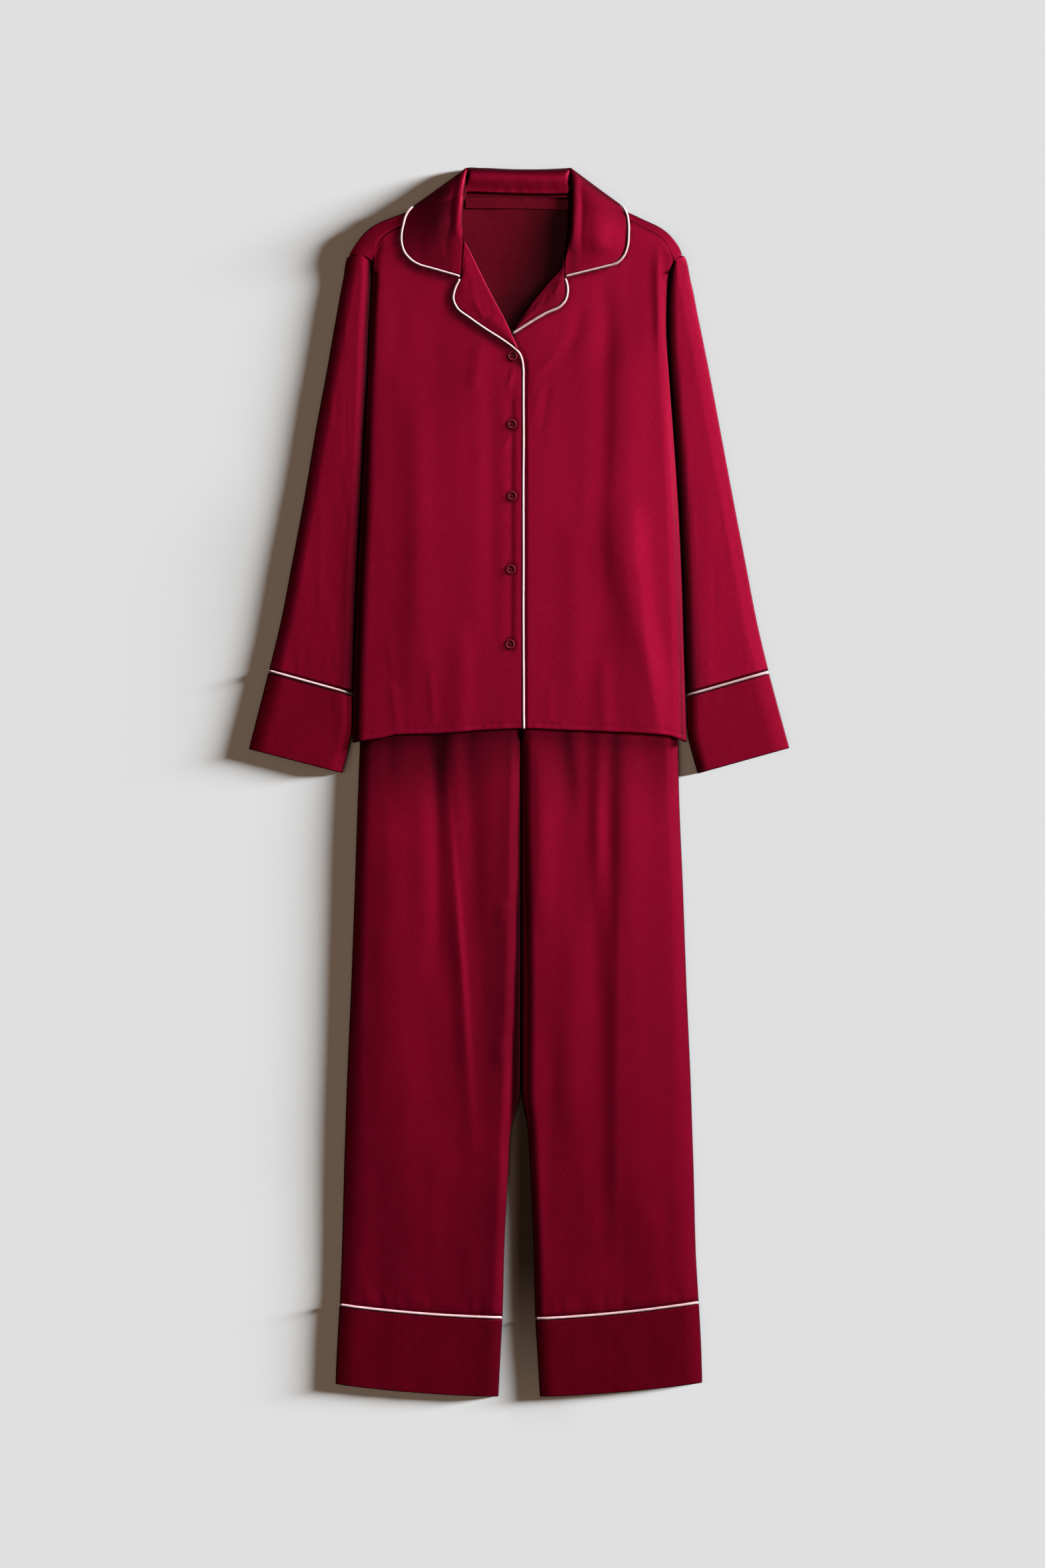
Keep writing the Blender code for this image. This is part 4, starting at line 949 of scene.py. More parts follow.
class Workroom:
    def __init__(self) -> None:
        """Starts with an empty collection and makes every finish once."""
        self.collection = bpy.data.collections.new("Dressed set")
        bpy.context.scene.collection.children.link(self.collection)
        self.finishes = {finish.name: finish.make()
                         for finish in (SATIN, SATIN_CUFF, SATIN_INSIDE, PIPING, SEWING, BUTTON)}
        self.triangles = 0

    def mesh(self, name: str, points: Array, faces: Sequence[Sequence[int]], finish: str,
             uv: Array | None = None, edges: Sequence[tuple[int, int]] = ()) -> Piece:
        """A mesh object in metres from points in millimetres.

        Args:
            name: the piece's name.
            points: its points.
            faces: its faces, turned outwards.
            finish: the name of its finish.
            uv: the cloth's own coordinates in metres, one for each corner of each face.
            edges: its edges, where it has no faces.

        Returns:
            The new object.
        """
        mesh = bpy.data.meshes.new(name)
        mesh.from_pydata(((points - CENTRE) * MM).tolist(), edges, faces)
        if uv is not None:
            layer = mesh.uv_layers.new(name="Cloth")
            layer.data.foreach_set("uv", np.asarray(uv, np.float32).ravel())
        mesh.materials.append(self.finishes[finish])
        mesh.shade_smooth()
        piece = bpy.data.objects.new(name, mesh)
        self.collection.objects.link(piece)
        return piece

    def settle(self, piece: Piece) -> Piece:
        """Turns a piece and its modifiers into one plain mesh.

        Args:
            piece: the piece.

        Returns:
            The same piece.
        """
        graph = bpy.context.evaluated_depsgraph_get()
        mesh = bpy.data.meshes.new_from_object(piece.evaluated_get(graph), depsgraph=graph,
                                               preserve_all_data_layers=True)
        old = piece.data
        piece.modifiers.clear()
        piece.data = mesh
        mesh.name = piece.name
        bpy.data.meshes.remove(old)
        return piece

    def cloth(self, name: str, grid: Array, finish: str, loop: bool = False, flip: bool = False,
              wall: float = WALL, centred: bool = False, tucked: Array | None = None) -> Piece:
        """A piece of cloth through a grid of points.

        Args:
            name: the piece's name.
            grid: points as (row, column, axis).
            finish: the name of its finish.
            loop: whether each row closes on itself, as round a tube.
            flip: whether the faces are turned over.
            wall: the cloth's thickness.
            centred: whether the thickness lies on both sides of the grid.
            tucked: how much shade is painted on each point of the grid, from 0 to 1.

        Returns:
            The piece, with its thickness.
        """
        rows, columns = grid.shape[:2]
        closed = np.concatenate([grid, grid[:, :1]], axis=1) if loop else grid
        u = add_up(lengths(np.diff(closed, axis=1)).mean(axis=0)) * MM
        v = add_up(lengths(np.diff(closed, axis=0)).mean(axis=1)) * MM
        corner_r, corner_c = corners(rows, closed.shape[1] - 1)
        if flip:
            corner_r, corner_c = corner_r[:, ::-1], corner_c[:, ::-1]
        faces = corner_r * columns + corner_c % columns
        uv = np.stack([u[corner_c], v[corner_r]], axis=-1)
        piece = self.mesh(name, grid.reshape(-1, 3), faces.tolist(), finish, uv)
        # The painted shade goes into a mesh attribute that darkens the satin.
        inside = np.zeros(rows * columns) if tucked is None else tucked.ravel()
        marks = piece.data.attributes.new(PAINTED_SHADE_MARK, "FLOAT", "POINT").data
        marks.foreach_set("value", inside.astype(np.float32))
        layer = piece.modifiers.new("Cloth", "SOLIDIFY")
        layer.thickness = wall * MM
        layer.offset = 0 if centred else -1
        layer.use_even_offset = False
        self.settle(piece)
        self.rest_and_paint_edge_shade(piece)
        return piece

    def rest_and_paint_edge_shade(self, piece: Piece) -> None:
        """Rests a piece on the floor, and paints shade where its cloth turns on edge, which darkens
        its rolled edges.

        Args:
            piece: a piece of cloth that has its thickness.
        """
        mesh = piece.data
        places = np.empty(3 * len(mesh.vertices), np.float32)
        mesh.vertices.foreach_get("co", places)
        places[2::3] = np.maximum(places[2::3], LOWEST * MM)
        mesh.vertices.foreach_set("co", places)
        mesh.update()
        normals = np.empty(3 * len(mesh.vertices), np.float32)
        mesh.vertex_normals.foreach_get("vector", normals)
        # Painted shade: cloth that turns on edge is darkened, which dulls the highlights on its
        # rolled edges.
        painted_edge_shade = EDGE_SHADE * ramp(1 - np.abs(normals[2::3]), *EDGE_TURN)
        marks = mesh.attributes[PAINTED_SHADE_MARK].data
        inside = np.empty(len(mesh.vertices), np.float32)
        marks.foreach_get("value", inside)
        marks.foreach_set("value", np.maximum(inside, painted_edge_shade).astype(np.float32))

    def cord(self, name: str, path: Array, radius: float, finish: str, sides: int = 12,
             step: float = 1.3, uneven: float = 0.05, seed: int = 1, tail: float = 0.0) -> Piece:
        """A round cord along a path, with closed ends.

        Args:
            name: the piece's name.
            path: the points that it follows.
            radius: its radius.
            finish: the name of its finish.
            sides: how many sides it has.
            step: the distance between its rings.
            uneven: how much its thickness varies.
            seed: which unevenness.
            tail: the length over which it thins towards its last end.

        Returns:
            The cord.
        """
        line = densify(path, max(int(lengths(np.diff(path, axis=0)).sum() / step), 4))
        tangent = np.gradient(line, axis=0)
        tangent /= lengths(tangent)[:, None]
        across = np.cross(tangent, np.array([0, 0, 1]))
        across /= lengths(across)[:, None] + 1e-9
        rise = np.cross(across, tangent)
        run = add_up(lengths(np.diff(line, axis=0)))
        thick = radius * (1 + uneven * drift(run, run * 0, 5, 50, seed))
        thick[[0, -1]] *= CORD_SHOULDER
        if tail:
            thick *= mix(CORD_TIP, 1, ramp(run[-1] - run, 0, tail))
        angle = np.linspace(0, 2 * math.pi, sides, endpoint=False)
        ring = np.cos(angle)[:, None] * across[:, None] + np.sin(angle)[:, None] * rise[:, None]
        grid = line[:, None] + ring * thick[:, None, None]
        count = len(line)
        corner_r, corner_c = (np.roll(part[:, ::-1], 1, axis=1) for part in corners(count, sides))
        faces = (corner_r * sides + corner_c % sides).tolist()
        uv = np.stack([corner_c * (2 * math.pi * radius / sides) * MM, run[corner_r] * MM], axis=-1)
        uv = uv.reshape(-1, 2).tolist()
        ends = np.stack([line[0] - tangent[0] * radius * CORD_DOME,
                         line[-1] + tangent[-1] * radius * CORD_DOME])
        first, last = count * sides, count * sides + 1
        for k in range(sides):
            after = (k + 1) % sides
            faces.append([first, k, after])
            faces.append([last, (count - 1) * sides + after, (count - 1) * sides + k])
            uv.extend([[0, 0]] * 6)
        points = np.concatenate([grid.reshape(-1, 3), ends])
        return self.mesh(name, points, faces, finish, np.array(uv))

    def stitches(self, name: str, paths: Sequence[Array]) -> Piece:
        """Rows of stitches along paths on the cloth.

        Args:
            name: the piece's name.
            paths: the seams that the stitches follow.

        Returns:
            All the stitches, as one plain mesh.
        """
        points, edges, start = [], [], 0
        for path in paths:
            points.append(path)
            edges.extend((start + k, start + k + 1) for k in range(len(path) - 1))
            start += len(path)
        piece = self.mesh(name, np.concatenate(points), (), SEWING.name, edges=edges)
        tree = stitch_tree()
        sewn = piece.modifiers.new("Stitches", "NODES")
        sewn.node_group = tree
        sizes = {name: size * MM for name, size in STITCH.items()}
        sizes["Finish"] = self.finishes[SEWING.name]
        for item in tree.interface.items_tree:
            if item.item_type == "SOCKET" and item.name in sizes:
                sewn[item.identifier] = sizes[item.name]
        return self.settle(piece)

    def add(self, piece: Piece, nodes: Sequence[str] = (), slot: str = SATIN.name) -> None:
        """Rides a piece on the set, hides the CAD parts that it replaces and counts its triangles.

        Args:
            piece: the finished piece.
            nodes: the CAD nodes that it replaces.
            slot: not used.
        """
        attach(piece, "root")
        if nodes:
            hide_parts(*nodes)
        piece.data.calc_loop_triangles()
        count = len(piece.data.loop_triangles)
        self.triangles += count
        LOG.info("%s: %d triangles", piece.name, count)


def stitch_tree() -> bpy.types.NodeTree:
    """The node tree that lays one small stitch at each pitch along a line.

    Returns:
        The tree, with an input for each size and for the thread's finish.
    """
    tree = bpy.data.node_groups.new("Stitches", "GeometryNodeTree")
    tree.interface.new_socket("Geometry", in_out="INPUT", socket_type="NodeSocketGeometry")
    for name, size in STITCH.items():
        socket = tree.interface.new_socket(name, in_out="INPUT", socket_type="NodeSocketFloat")
        socket.default_value = size * MM
    tree.interface.new_socket("Finish", in_out="INPUT", socket_type="NodeSocketMaterial")
    tree.interface.new_socket("Geometry", in_out="OUTPUT", socket_type="NodeSocketGeometry")

    def node(kind: str, settings: dict[str, object] | None = None, **values: object) -> object:
        """The outputs of a new node, laid with lay_node."""
        return lay_node(tree, kind, settings, values).outputs

    given = node("NodeGroupInput")
    line = node("GeometryNodeMeshToCurve", Mesh=given["Geometry"])[0]
    places = node("GeometryNodeCurveToPoints", {"mode": "LENGTH"}, Curve=line,
                  Length=given["Pitch"])
    turn = node("FunctionNodeAlignRotationToVector", {"axis": "X"}, Vector=places["Tangent"])[0]
    stitch = node("GeometryNodeMeshUVSphere", Segments=6, Rings=4, Radius=0.5)["Mesh"]
    wide = Sock(tree, given["Thread"]) * 2
    size = node("ShaderNodeCombineXYZ", X=given["Length"], Y=wide, Z=wide)[0]
    laid = node("GeometryNodeInstanceOnPoints", Points=places["Points"], Instance=stitch,
                Rotation=turn, Scale=size)[0]
    real = node("GeometryNodeRealizeInstances", Geometry=laid)[0]
    node("NodeGroupOutput", Geometry=node("GeometryNodeSetMaterial", Geometry=real,
                                          Material=given["Finish"])[0])
    return tree


def line_on(height: Height, x: Array, y: Array, lift: float = 0.0) -> Array:
    """The points of a line that follows the cloth's height, at a lift above it."""
    return np.stack([x, y, height(x, y) + lift], axis=-1)


# ---- Heights of the laid shirt ----

TENT_START = 262.0
TENT_END = 520.0
VISIBLE_DIP = 1.1
HEM_DEPTH = 6.3
CREASE_SHARE = 0.7
# How far above the hem, and how deep, each row of its turned-in edge lies.
HEM_TURN = ((9, 1.7), (4, 1.7), (1.1, 1.7), (0.3, 1.4), (0, 0.9), (0.25, 0.35))


def side_gaps(x: Array, y: Array) -> tuple[Array, Array]:
    """How far points of the body are from its right and left side folds."""
    past_armhole = 1.2 * np.maximum(0, y - 572)
    return x - RIGHT_EDGE(y) + past_armhole, LEFT_EDGE(y) - x + past_armhole


def shirt_floor(x: Array, y: Array) -> Array:
    """Height of the underside of the shirt: on the trousers, on the floor, or on the collar.

    Args:
        x: places across.
        y: places up.

    Returns:
        The height at each place.
    """
    over = 1 - ramp(y, TENT_START, TENT_END)
    droop = EDGE_DROOP * (1 - swell(np.minimum(*side_gaps(x, y)) / DROOP_REACH))
    return over * (OVER_TROUSERS - droop) + NECK_LIFT * ramp(y, NECK_START, NECK_FULL)


def shirt_loft(x: Array, y: Array) -> Array:
    """How far the fronts have risen from their side and shoulder folds, from 0 to 1.

    Args:
        x: places across.
        y: places up.

    Returns:
        The share at each place.
    """
    right_gap, left_gap = side_gaps(x, y)
    shoulder_gap = (SHOULDER_LINE(x) - y) * 0.92
    return np.minimum(np.minimum(swell((right_gap - SHIRT_FOLD) / RIGHT_SIDE_REACH),
                                 swell((left_gap - SHIRT_FOLD) / LEFT_SIDE_REACH)),
                      swell((shoulder_gap - SHIRT_FOLD) / SHOULDER_REACH))


def shirt_top(x: Array, y: Array) -> Array:
    """Height of the outer face of the fronts, with their broad folds.

    Args:
        x: places across.
        y: places up.

    Returns:
        The height at each place.
    """
    hem_fold = 0.6 * hump(x - mix(171, 122, ramp(y, 45, 230)), 15)
    hem_fold = hem_fold * (1 - ramp(y, 180, 300))
    left_pleat = -0.5 * hump(x - 100, 16) * ramp(y, 60, 250) * (1 - ramp(y, 480, 560))
    right_pleat = -0.4 * hump(x + 95, 18) * ramp(y, 120, 350) * (1 - ramp(y, 500, 570))
    rise = SHIRT_RISE + hem_fold + left_pleat + right_pleat
    return shirt_floor(x, y) + 2 * SHIRT_FOLD + rise * shirt_loft(x, y)


def lap_dip(x: Array, y: Array, depth: float) -> Array:
    """How far the left front sinks to pass beneath the right front.

    Args:
        x: places across.
        y: places up.
        depth: how deep it sinks at most.

    Returns:
        The depth at each place.
    """
    beside = x + 17 * ramp(y, 464, 506)
    reach = mix(8.4, 11.5, ramp(y, 440, 480))
    return depth * (1 - ramp(beside, 6, reach)) * (1 - ramp(y, 492, 520))


# Folds of the two fronts, each drawn from the hem towards the collar.
RIGHT_CREASES = tuple(Crease(*row) for row in (
    (((-118, 75), (-114, 200), (-111, 330), (-116, 450)), 1.3, 17, 30, 70),
    (((-30, 130), (-31, 300), (-33, 470)), -0.55, 12, 12, 60),
    (((-162, 440), (-160, 520), (-157, 612)), 0.9, 7, 18, 50),
    (((-164, 548), (-163, 590), (-155, 614)), -1, 2.6, 4.5, 16),
    (((-96, 56), (-98, 90), (-101, 132)), 0.3, 4, 5, 18),
    (((-137, 54), (-140, 85), (-146, 118)), 0.28, 4, 5, 16),
    (((-140, 112), (-145, 140), (-147, 172)), 0.2, 4, 5, 18),
    (((-67, 15), (-66, 58), (-65, 100), (-66, 190)), 0.8, 14, 12, 45),
    (((-8.6, 140), (-8.2, 300), (-7.9, 440)), -0.45, 8, 2.4, 14),
    (((-14, 440), (-9, 458), (-6, 470)), 0.4, 2.5, 3, 10),
    (((-22, 372), (-14, 382), (-8.5, 396)), 0.4, 3, 3, 10),
    (((-24, 336), (-15, 330), (-9, 326)), 0.35, 3, 3, 10),
    (((-40, 505), (-48, 470), (-52, 430)), 0.5, 9, 8, 25),
))
LEFT_CREASES = tuple(Crease(*row) for row in (
    (((103, 455), (98, 520), (91, 580)), -0.8, 13, 11, 40),
    (((112, 190), (107, 295), (112, 400), (112, 530)), 1.5, 13, 28, 70),
    (((157, 5), (152, 70), (143, 130), (137, 190), (131, 242), (123, 330)), 2.9, 42, 13, 60),
    (((162, 470), (158.5, 519), (156, 566), (156.5, 612)), 1.15, 6, 3.8, 45),
    (((8.5, 424), (8.8, 445), (9.5, 466)), -0.3, 3, 3.6, 14),
    (((22, 388), (28, 412), (32, 440), (37, 457)), -0.25, 3.6, 3.6, 18),
    (((11, 452), (26, 466), (46, 486)), 0.3, 4.5, 4.5, 18),
    (((15, 398), (18, 420), (24, 446)), 0.22, 3.6, 3.6, 18),
    (((44, 470), (62, 500), (72, 545)), -0.5, 8, 8, 25),
    (((60, 60), (62, 200), (58, 330)), 0.6, 16, 16, 70),
    (((99, 15), (97, 56), (95, 90), (95, 150)), 0.6, 8, 9, 35),
    (((35, 58), (33, 80), (36, 120)), 0.22, 4.5, 5, 18),
))


@dataclass(frozen=True)
class Front:
    """One front of the shirt, wrapped round its side fold and turned up at its hem."""

    side: Side
    neck: Table
    top_y: float
    creases: tuple[Crease, ...]
    flat: Pair
    area: float
    columns: int = 100
    curl_points: int = 9
    hem_rows: int = 20
    body_rows: int = 128
    top_rows: int = 40
    row_85: float = 85.0
    row_570: float = 570.0

    @property
    def edge(self) -> Table:
        """The side edge of the body on this side."""
        return RIGHT_EDGE if self.side is Side.RIGHT else LEFT_EDGE

    def face(self, x: Array, y: Array) -> Array:
        """Height of this front's outer face, with all its folds.

        Args:
            x: places across.
            y: places up.

        Returns:
            The height at each place.
        """
        loft = shirt_loft(x, y)
        above_hem = y - HEM_LINE(x)
        small = 0.05 * drift(x, y, 13, 70, 3) + 0.16 * drift(x, y, 34, 150, 5)
        pucker = 0.10 * drift(x, y, 4.5, 14, 9) * (1 - ramp(above_hem, 6, 16))
        groove = -0.14 * hump(above_hem - HEM_DEPTH, 0.9) + 0.06 * hump(above_hem - 3, 3)
        beside_seam = -0.2 * hump(FORWARD_LINE(x) - y, 1.3)
        folds = CREASE_SHARE * relief(self.creases, x, y) + small
        height = shirt_top(x, y) + folds * loft + pucker * loft + groove + beside_seam
        if self.side is Side.LEFT:
            return height - lap_dip(x, y, VISIBLE_DIP)
        on_edge = (1 - ramp(y, 470, 500)) * ramp(y, 60, 66)
        height = height - 0.18 * hump(x - 3.3, 1.4) * on_edge
        for button in BUTTONS:
            away = np.hypot(x - button.x, y - button.y)
            height = height - 0.3 * hump(away, 7) + 0.12 * hump(away - 9, 3)
        return height

    def tucked(self, grid: Array) -> Array:
        """How much shade is painted on points beside the collar and lapel, round each button and
        between the buttons, from 0 to 1.

        Args:
            grid: the front's points.

        Returns:
            One number for each point.
        """
        x, y = grid[..., 0], grid[..., 1]
        right = self.side is Side.RIGHT
        lapel = front_piping_path() if right else left_piping_path()
        rim = np.concatenate([Collar().piping(self.side), lapel])
        rim = rim[rim[:, 1] > 474]
        away = (x[..., None] - rim[:, 0]) ** 2 + (y[..., None] - rim[:, 1]) ** 2
        away = np.sqrt(np.min(away, axis=-1))
        # Painted shadow beside the collar and lapel piping, darker and wider on the right front.
        depth, reach = (0.8, 15) if right else (0.5, 7.5)
        shade = depth * (1 - ramp(away, 2, reach))
        # Painted shade: a dark line between the buttons, and a dark ring round each button.
        if right:
            between = 0.3 * hump(x + 7.3, 2.2) * ramp(y, 130, 160) * (1 - ramp(y, 425, 440))
            shade = np.maximum(shade, between)
            for button in BUTTONS:
                away = np.hypot(x - button.x, y - button.y)
                shade = np.maximum(shade, 0.6 * (1 - ramp(away, 6.6, 10)))
        return shade

    def row(self, y_of: Callable[[Array], Array], dy: float = 0.0, depth: float = 0.0) -> Array:
        """One row of the front, from its wrapped side fold to its inner edge.

        Args:
            y_of: the row's height from the share of the way across.
            dy: how far the row is moved up the cloth.
            depth: how far the row lies inside the outer face.

        Returns:
            The row's points.
        """
        sign = self.side.value
        start_y = float(y_of(np.array(0)))
        extreme = float(self.edge(start_y)) - sign * TOUCHING
        start_x = extreme - sign * SHIRT_FOLD
        inner_x = float(self.neck(y_of(np.array(1))))
        fold = curl(SHIRT_FOLD, math.pi, self.curl_points, CURL_TAIL)[::-1]
        start_z = float(self.face(np.array(start_x), np.array(start_y)))
        wrapped = np.stack([extreme - sign * fold[:, 0], np.full(len(fold), start_y + dy),
                            start_z - fold[:, 1]], axis=1)
        wrapped[:, 0] -= sign * np.sin(fold[:, 2]) * depth
        wrapped[:, 2] -= np.cos(fold[:, 2]) * depth
        share = np.linspace(0, 1, self.columns)[1:]
        x = mix(start_x, inner_x, share)
        y = y_of(share)
        flat = np.stack([x, y + dy, self.face(x, y + min(dy, 1)) - depth], axis=1)
        return np.concatenate([wrapped, flat])

    def grid(self) -> Array:
        """The whole front, from its turned hem to the forward shoulder seam.

        Returns:
            The points, row by row.
        """
        hem_ends = (self.side.value * 188, float(self.neck(60)))
        top_ends = (float(self.edge(ARMHOLE_Y)) - self.side.value * (TOUCHING + SHIRT_FOLD),
                    float(self.neck(self.top_y)))

        def hem(share: Array) -> Array:
            """Height of the hem at a share of the way across."""
            return HEM_LINE(mix(*hem_ends, share))

        rows = [self.row(hem, dy, depth) for dy, depth in HEM_TURN]
        rows.append(self.row(lambda s: hem(s) + 0.9))
        for k in np.linspace(0, 1, self.hem_rows)[1:]:
            rows.append(self.row(lambda s, k=k: mix(hem(s) + 0.9, self.row_85, k)))
        for base in np.linspace(self.row_85, self.row_570, self.body_rows)[1:]:
            rows.append(self.row(lambda s, base=base: base + 0 * s))
        for k in np.linspace(0, 1, self.top_rows)[1:]:
            rows.append(self.row(
                lambda s, k=k: mix(self.row_570, FORWARD_LINE(mix(*top_ends, s)), k)))
        return np.stack(rows)


# ---- Sleeves, cuffs and waistband ----

# How far in from its end, and how deep, each ring of a turned-in end lies.
END_TURN = ((0.9, 0), (0.25, 0.3), (0, 0.8), (0.25, 1.3), (1, 1.6), (14, 1.6))


def neck_floor(x: Array, y: Array) -> Array:
    """Height of the floor under the sleeve heads, which lie on the collar's lift."""
    return NECK_LIFT * ramp(y, NECK_START, NECK_FULL)


def flat_floor(x: Array, y: Array) -> Array:
    """Height of the surface that cuffs and legs lie on."""
    return 0 * x


@dataclass(frozen=True)
class Tube:
    """A flattened tube of cloth: a sleeve, a cuff or the waistband."""

    name: str
    seams: Sequence[Seam]
    floor: Height
    folds: Pair
    height: float
    swells: Pair
    flip: bool
    flat: Pair
    area: float
    creases: tuple[Crease, ...] = ()
    bow: float = 0.0
    on_armhole: bool = False
    turned_end: bool = False
    # Painted shade: how far in from the inner fold it reaches on the top face, and how dark it is.
    painted_shade: Pair = (0, 1)
    rows: int = 150
    across: int = 66
    bend: int = 9
    seed: int = 11
    finish: str = SATIN.name

    def top(self, distance: Array, width: Array) -> Array:
        """Height of the upper layer above the floor at a distance from the outer fold.

        Args:
            distance: how far places are from the outer fold.
            width: the tube's width.

        Returns:
            The height at each place.
        """
        sides = [2 * fold + (self.height - 2 * fold) * swell((gap - fold) / reach)
                 for fold, reach, gap in zip(self.folds, self.swells, (distance, width - distance))]
        return np.minimum(*sides)

    def plan(self, seam: Array, distance: Array, top_row: float) -> tuple[Array, Array, float]:
        """Where a ring's points lie in the plane.

        Args:
            seam: the ring's line, from its outer to its inner fold.
            distance: distances along the line.
            top_row: 1 where the ring follows the armhole, and 0 away from it.

        Returns:
            X, Y and the line's whole length.
        """
        outer, inner = seam[:2], seam[2:]
        width = float(np.hypot(*(inner - outer)))
        share = distance / width
        x, y = mix(outer[0], inner[0], share), mix(outer[1], inner[1], share)
        y = y + bowed(self.bow, share)
        if top_row > 0:
            y = mix(y, ARMHOLE_LINE(x), top_row)
        return x, y, width

    def ring(self, seam: Array, top_row: float, depth: float = 0.0) -> Array:
        """One ring round the tube, depth inside its outer face.

        Args:
            seam: the ring's line, from its outer to its inner fold.
            top_row: 1 where the ring follows the armhole, and 0 away from it.
            depth: how far it lies inside the outer face.

        Returns:
            The ring's points.
        """
        width = float(np.hypot(*(seam[2:] - seam[:2])))
        bends = [curl(fold, math.pi, self.bend) for fold in self.folds]
        outer, inner = bends[0][::-1], bends[1]
        flat = np.linspace(self.folds[0], width - self.folds[1], self.across)[1:-1]
        under = np.linspace(width - self.folds[1], self.folds[0], 8)[1:-1]
        distance = np.concatenate([outer[:, 0], flat, width - inner[:, 0], under])
        x, y, width = self.plan(seam, distance, top_row)
        low, high = 2 * self.folds[0], 2 * self.folds[1]
        folds = (relief(self.creases, x, y) + 0.2 * drift(x, y, 22, 90, self.seed)
                 + 0.05 * drift(x, y, 6, 40, self.seed + 1))
        rise = self.top(flat, width)
        edge = swell((flat - self.folds[0]) / 8) * swell((width - self.folds[1] - flat) / 5)
        first = len(outer)
        rise = rise + folds[first:first + len(flat)] * edge
        z = np.concatenate([low - outer[:, 1] - depth * np.cos(outer[:, 2]), rise - depth,
                            high - inner[:, 1] - depth * np.cos(inner[:, 2]),
                            np.full(len(under), depth)])
        inward = np.concatenate([np.sin(outer[:, 2]) * depth, 0 * flat,
                                 -np.sin(inner[:, 2]) * depth, 0 * under])
        x, y, width = self.plan(seam, distance + inward, top_row)
        return np.stack([x, y, self.floor(x, y) + np.maximum(z, LOWEST)], axis=1)

    def grid(self) -> Array:
        """Every ring of the tube, from its sewn end to its free end.

        Returns:
            The points, row by row.
        """
        seams = np.array(self.seams, float)
        middle = (seams[:, :2] + seams[:, 2:]) / 2
        run = add_up(np.hypot(*np.diff(middle, axis=0).T))
        places = np.linspace(0, run[-1], self.rows)
        lines = read_smooth(run, seams, places, False)
        heads = 1 - ramp(places, 0, 26) if self.on_armhole else np.zeros(self.rows)
        rings = [self.ring(line, head) for line, head in zip(lines, heads)]
        if self.turned_end:
            last = lines[-1]
            back = lines[-2] - last
            length = float(np.hypot(*(back[:2] + back[2:]) / 2))
            rings.pop()
            for inward, depth in END_TURN:
                rings.append(self.ring(last + back * inward / length, 0, depth))
        if self.on_armhole:
            head = rings[0].copy()
            inside = ramp(np.arange(len(head)), self.bend + 6, self.bend + 20)
            head[:, 1] += 4 * inside
            head[:, 2] = np.maximum(head[:, 2] - 1.3, LOWEST)
            rings.insert(0, head)
        return np.stack(rings)

    def tucked(self) -> Array:
        """How much shade is painted on each ring's points, from 0 to 1: on the top face towards the
        inner fold, and over the inner fold and the underside.

        Returns:
            One number for each point.
        """
        ring = np.zeros(2 * self.bend + self.across - 2 + 6)
        reach, deep = self.painted_shade
        if reach:
            line = self.seams[len(self.seams) // 2]
            width = math.hypot(line.inner_x - line.outer_x, line.inner_y - line.outer_y)
            flat = np.linspace(self.folds[0], width - self.folds[1], self.across)[1:-1]
            ring[self.bend:self.bend + len(flat)] = deep * (1 - ramp(width - flat, 0, reach))
            ring[self.bend + len(flat):] = deep
        return ring

    def build(self, room: Workroom) -> None:
        """Args:
            room: the workroom that it is made in.
        """
        grid = self.grid()
        piece = room.cloth(self.name + "_cloth", grid, self.finish, loop=True, flip=self.flip,
                           tucked=np.tile(self.tucked(), len(grid)))
        room.add(piece, (self.name,))

    def seam_line(self, seam: Seam, ends: float) -> Array:
        """A line over the tube's top face along one seam.

        Args:
            seam: where the line runs.
            ends: how far it stops short of each fold.

        Returns:
            The line's points.
        """
        row = np.array(seam, float)
        width = float(np.hypot(*(row[2:] - row[:2])))
        distance = np.linspace(ends, width - ends, 60)
        x, y, width = self.plan(row, distance, 0)
        return np.stack([x, y, self.floor(x, y) + self.top(distance, width)], axis=1)


def cuff_piping_path(seam: Seam, height: float, bow: float) -> Array:
    """The piping's path over a cuff's top face, ending low on both side folds.

    Args:
        seam: where the cuff is sewn on.
        height: how high the cuff stands.
        bow: how far the seam bows.

    Returns:
        The path's points.
    """
    row = np.array(seam, float)
    width = float(np.hypot(*(row[2:] - row[:2])))
    fold = curl(CUFF_FOLD, math.pi, 5)
    stops = np.array([1.45, 3.5, 6, 9, 13, 18])
    middle = np.linspace(18, width - 10, 12)[1:]
    distance = np.concatenate([stops, middle, width - np.array([6.5, 3.5, 1.45])])
    share = distance / width
    x, y = mix(row[0], row[2], share), mix(row[1], row[3], share) + bowed(bow, share)
    low = 2 * CUFF_FOLD
    back = width - distance
    top = np.minimum(low + (height - low) * swell((distance - CUFF_FOLD) / 18),
                     low + (height - low) * swell((back - CUFF_FOLD) / 13))
    near = np.minimum(distance, back)
    top = np.where(near < fold[2, 0] + 1, CUFF_FOLD + 1.2, top)
    return np.stack([x, y, np.maximum(top - 0.5, PIPING_RADIUS + 0.2)], axis=1)


# ---- Back, collar, lapels and buttons ----

def back_edge(side: Side, y: Array) -> Array:
    """Side edge of the flat back, which stops where the wrapped front begins."""
    edges = RIGHT_EDGE if side is Side.RIGHT else LEFT_EDGE
    return edges(y) - side.value * (SHIRT_FOLD + CURL_TAIL + SEAM + TOUCHING)


# Where the shadow painted on the inside back under the left collar and lapel ends, as y and x.
NECK_SHADE = Table([(480, -30), (536, 11), (571, 40), (600, 56), (690, 60)])


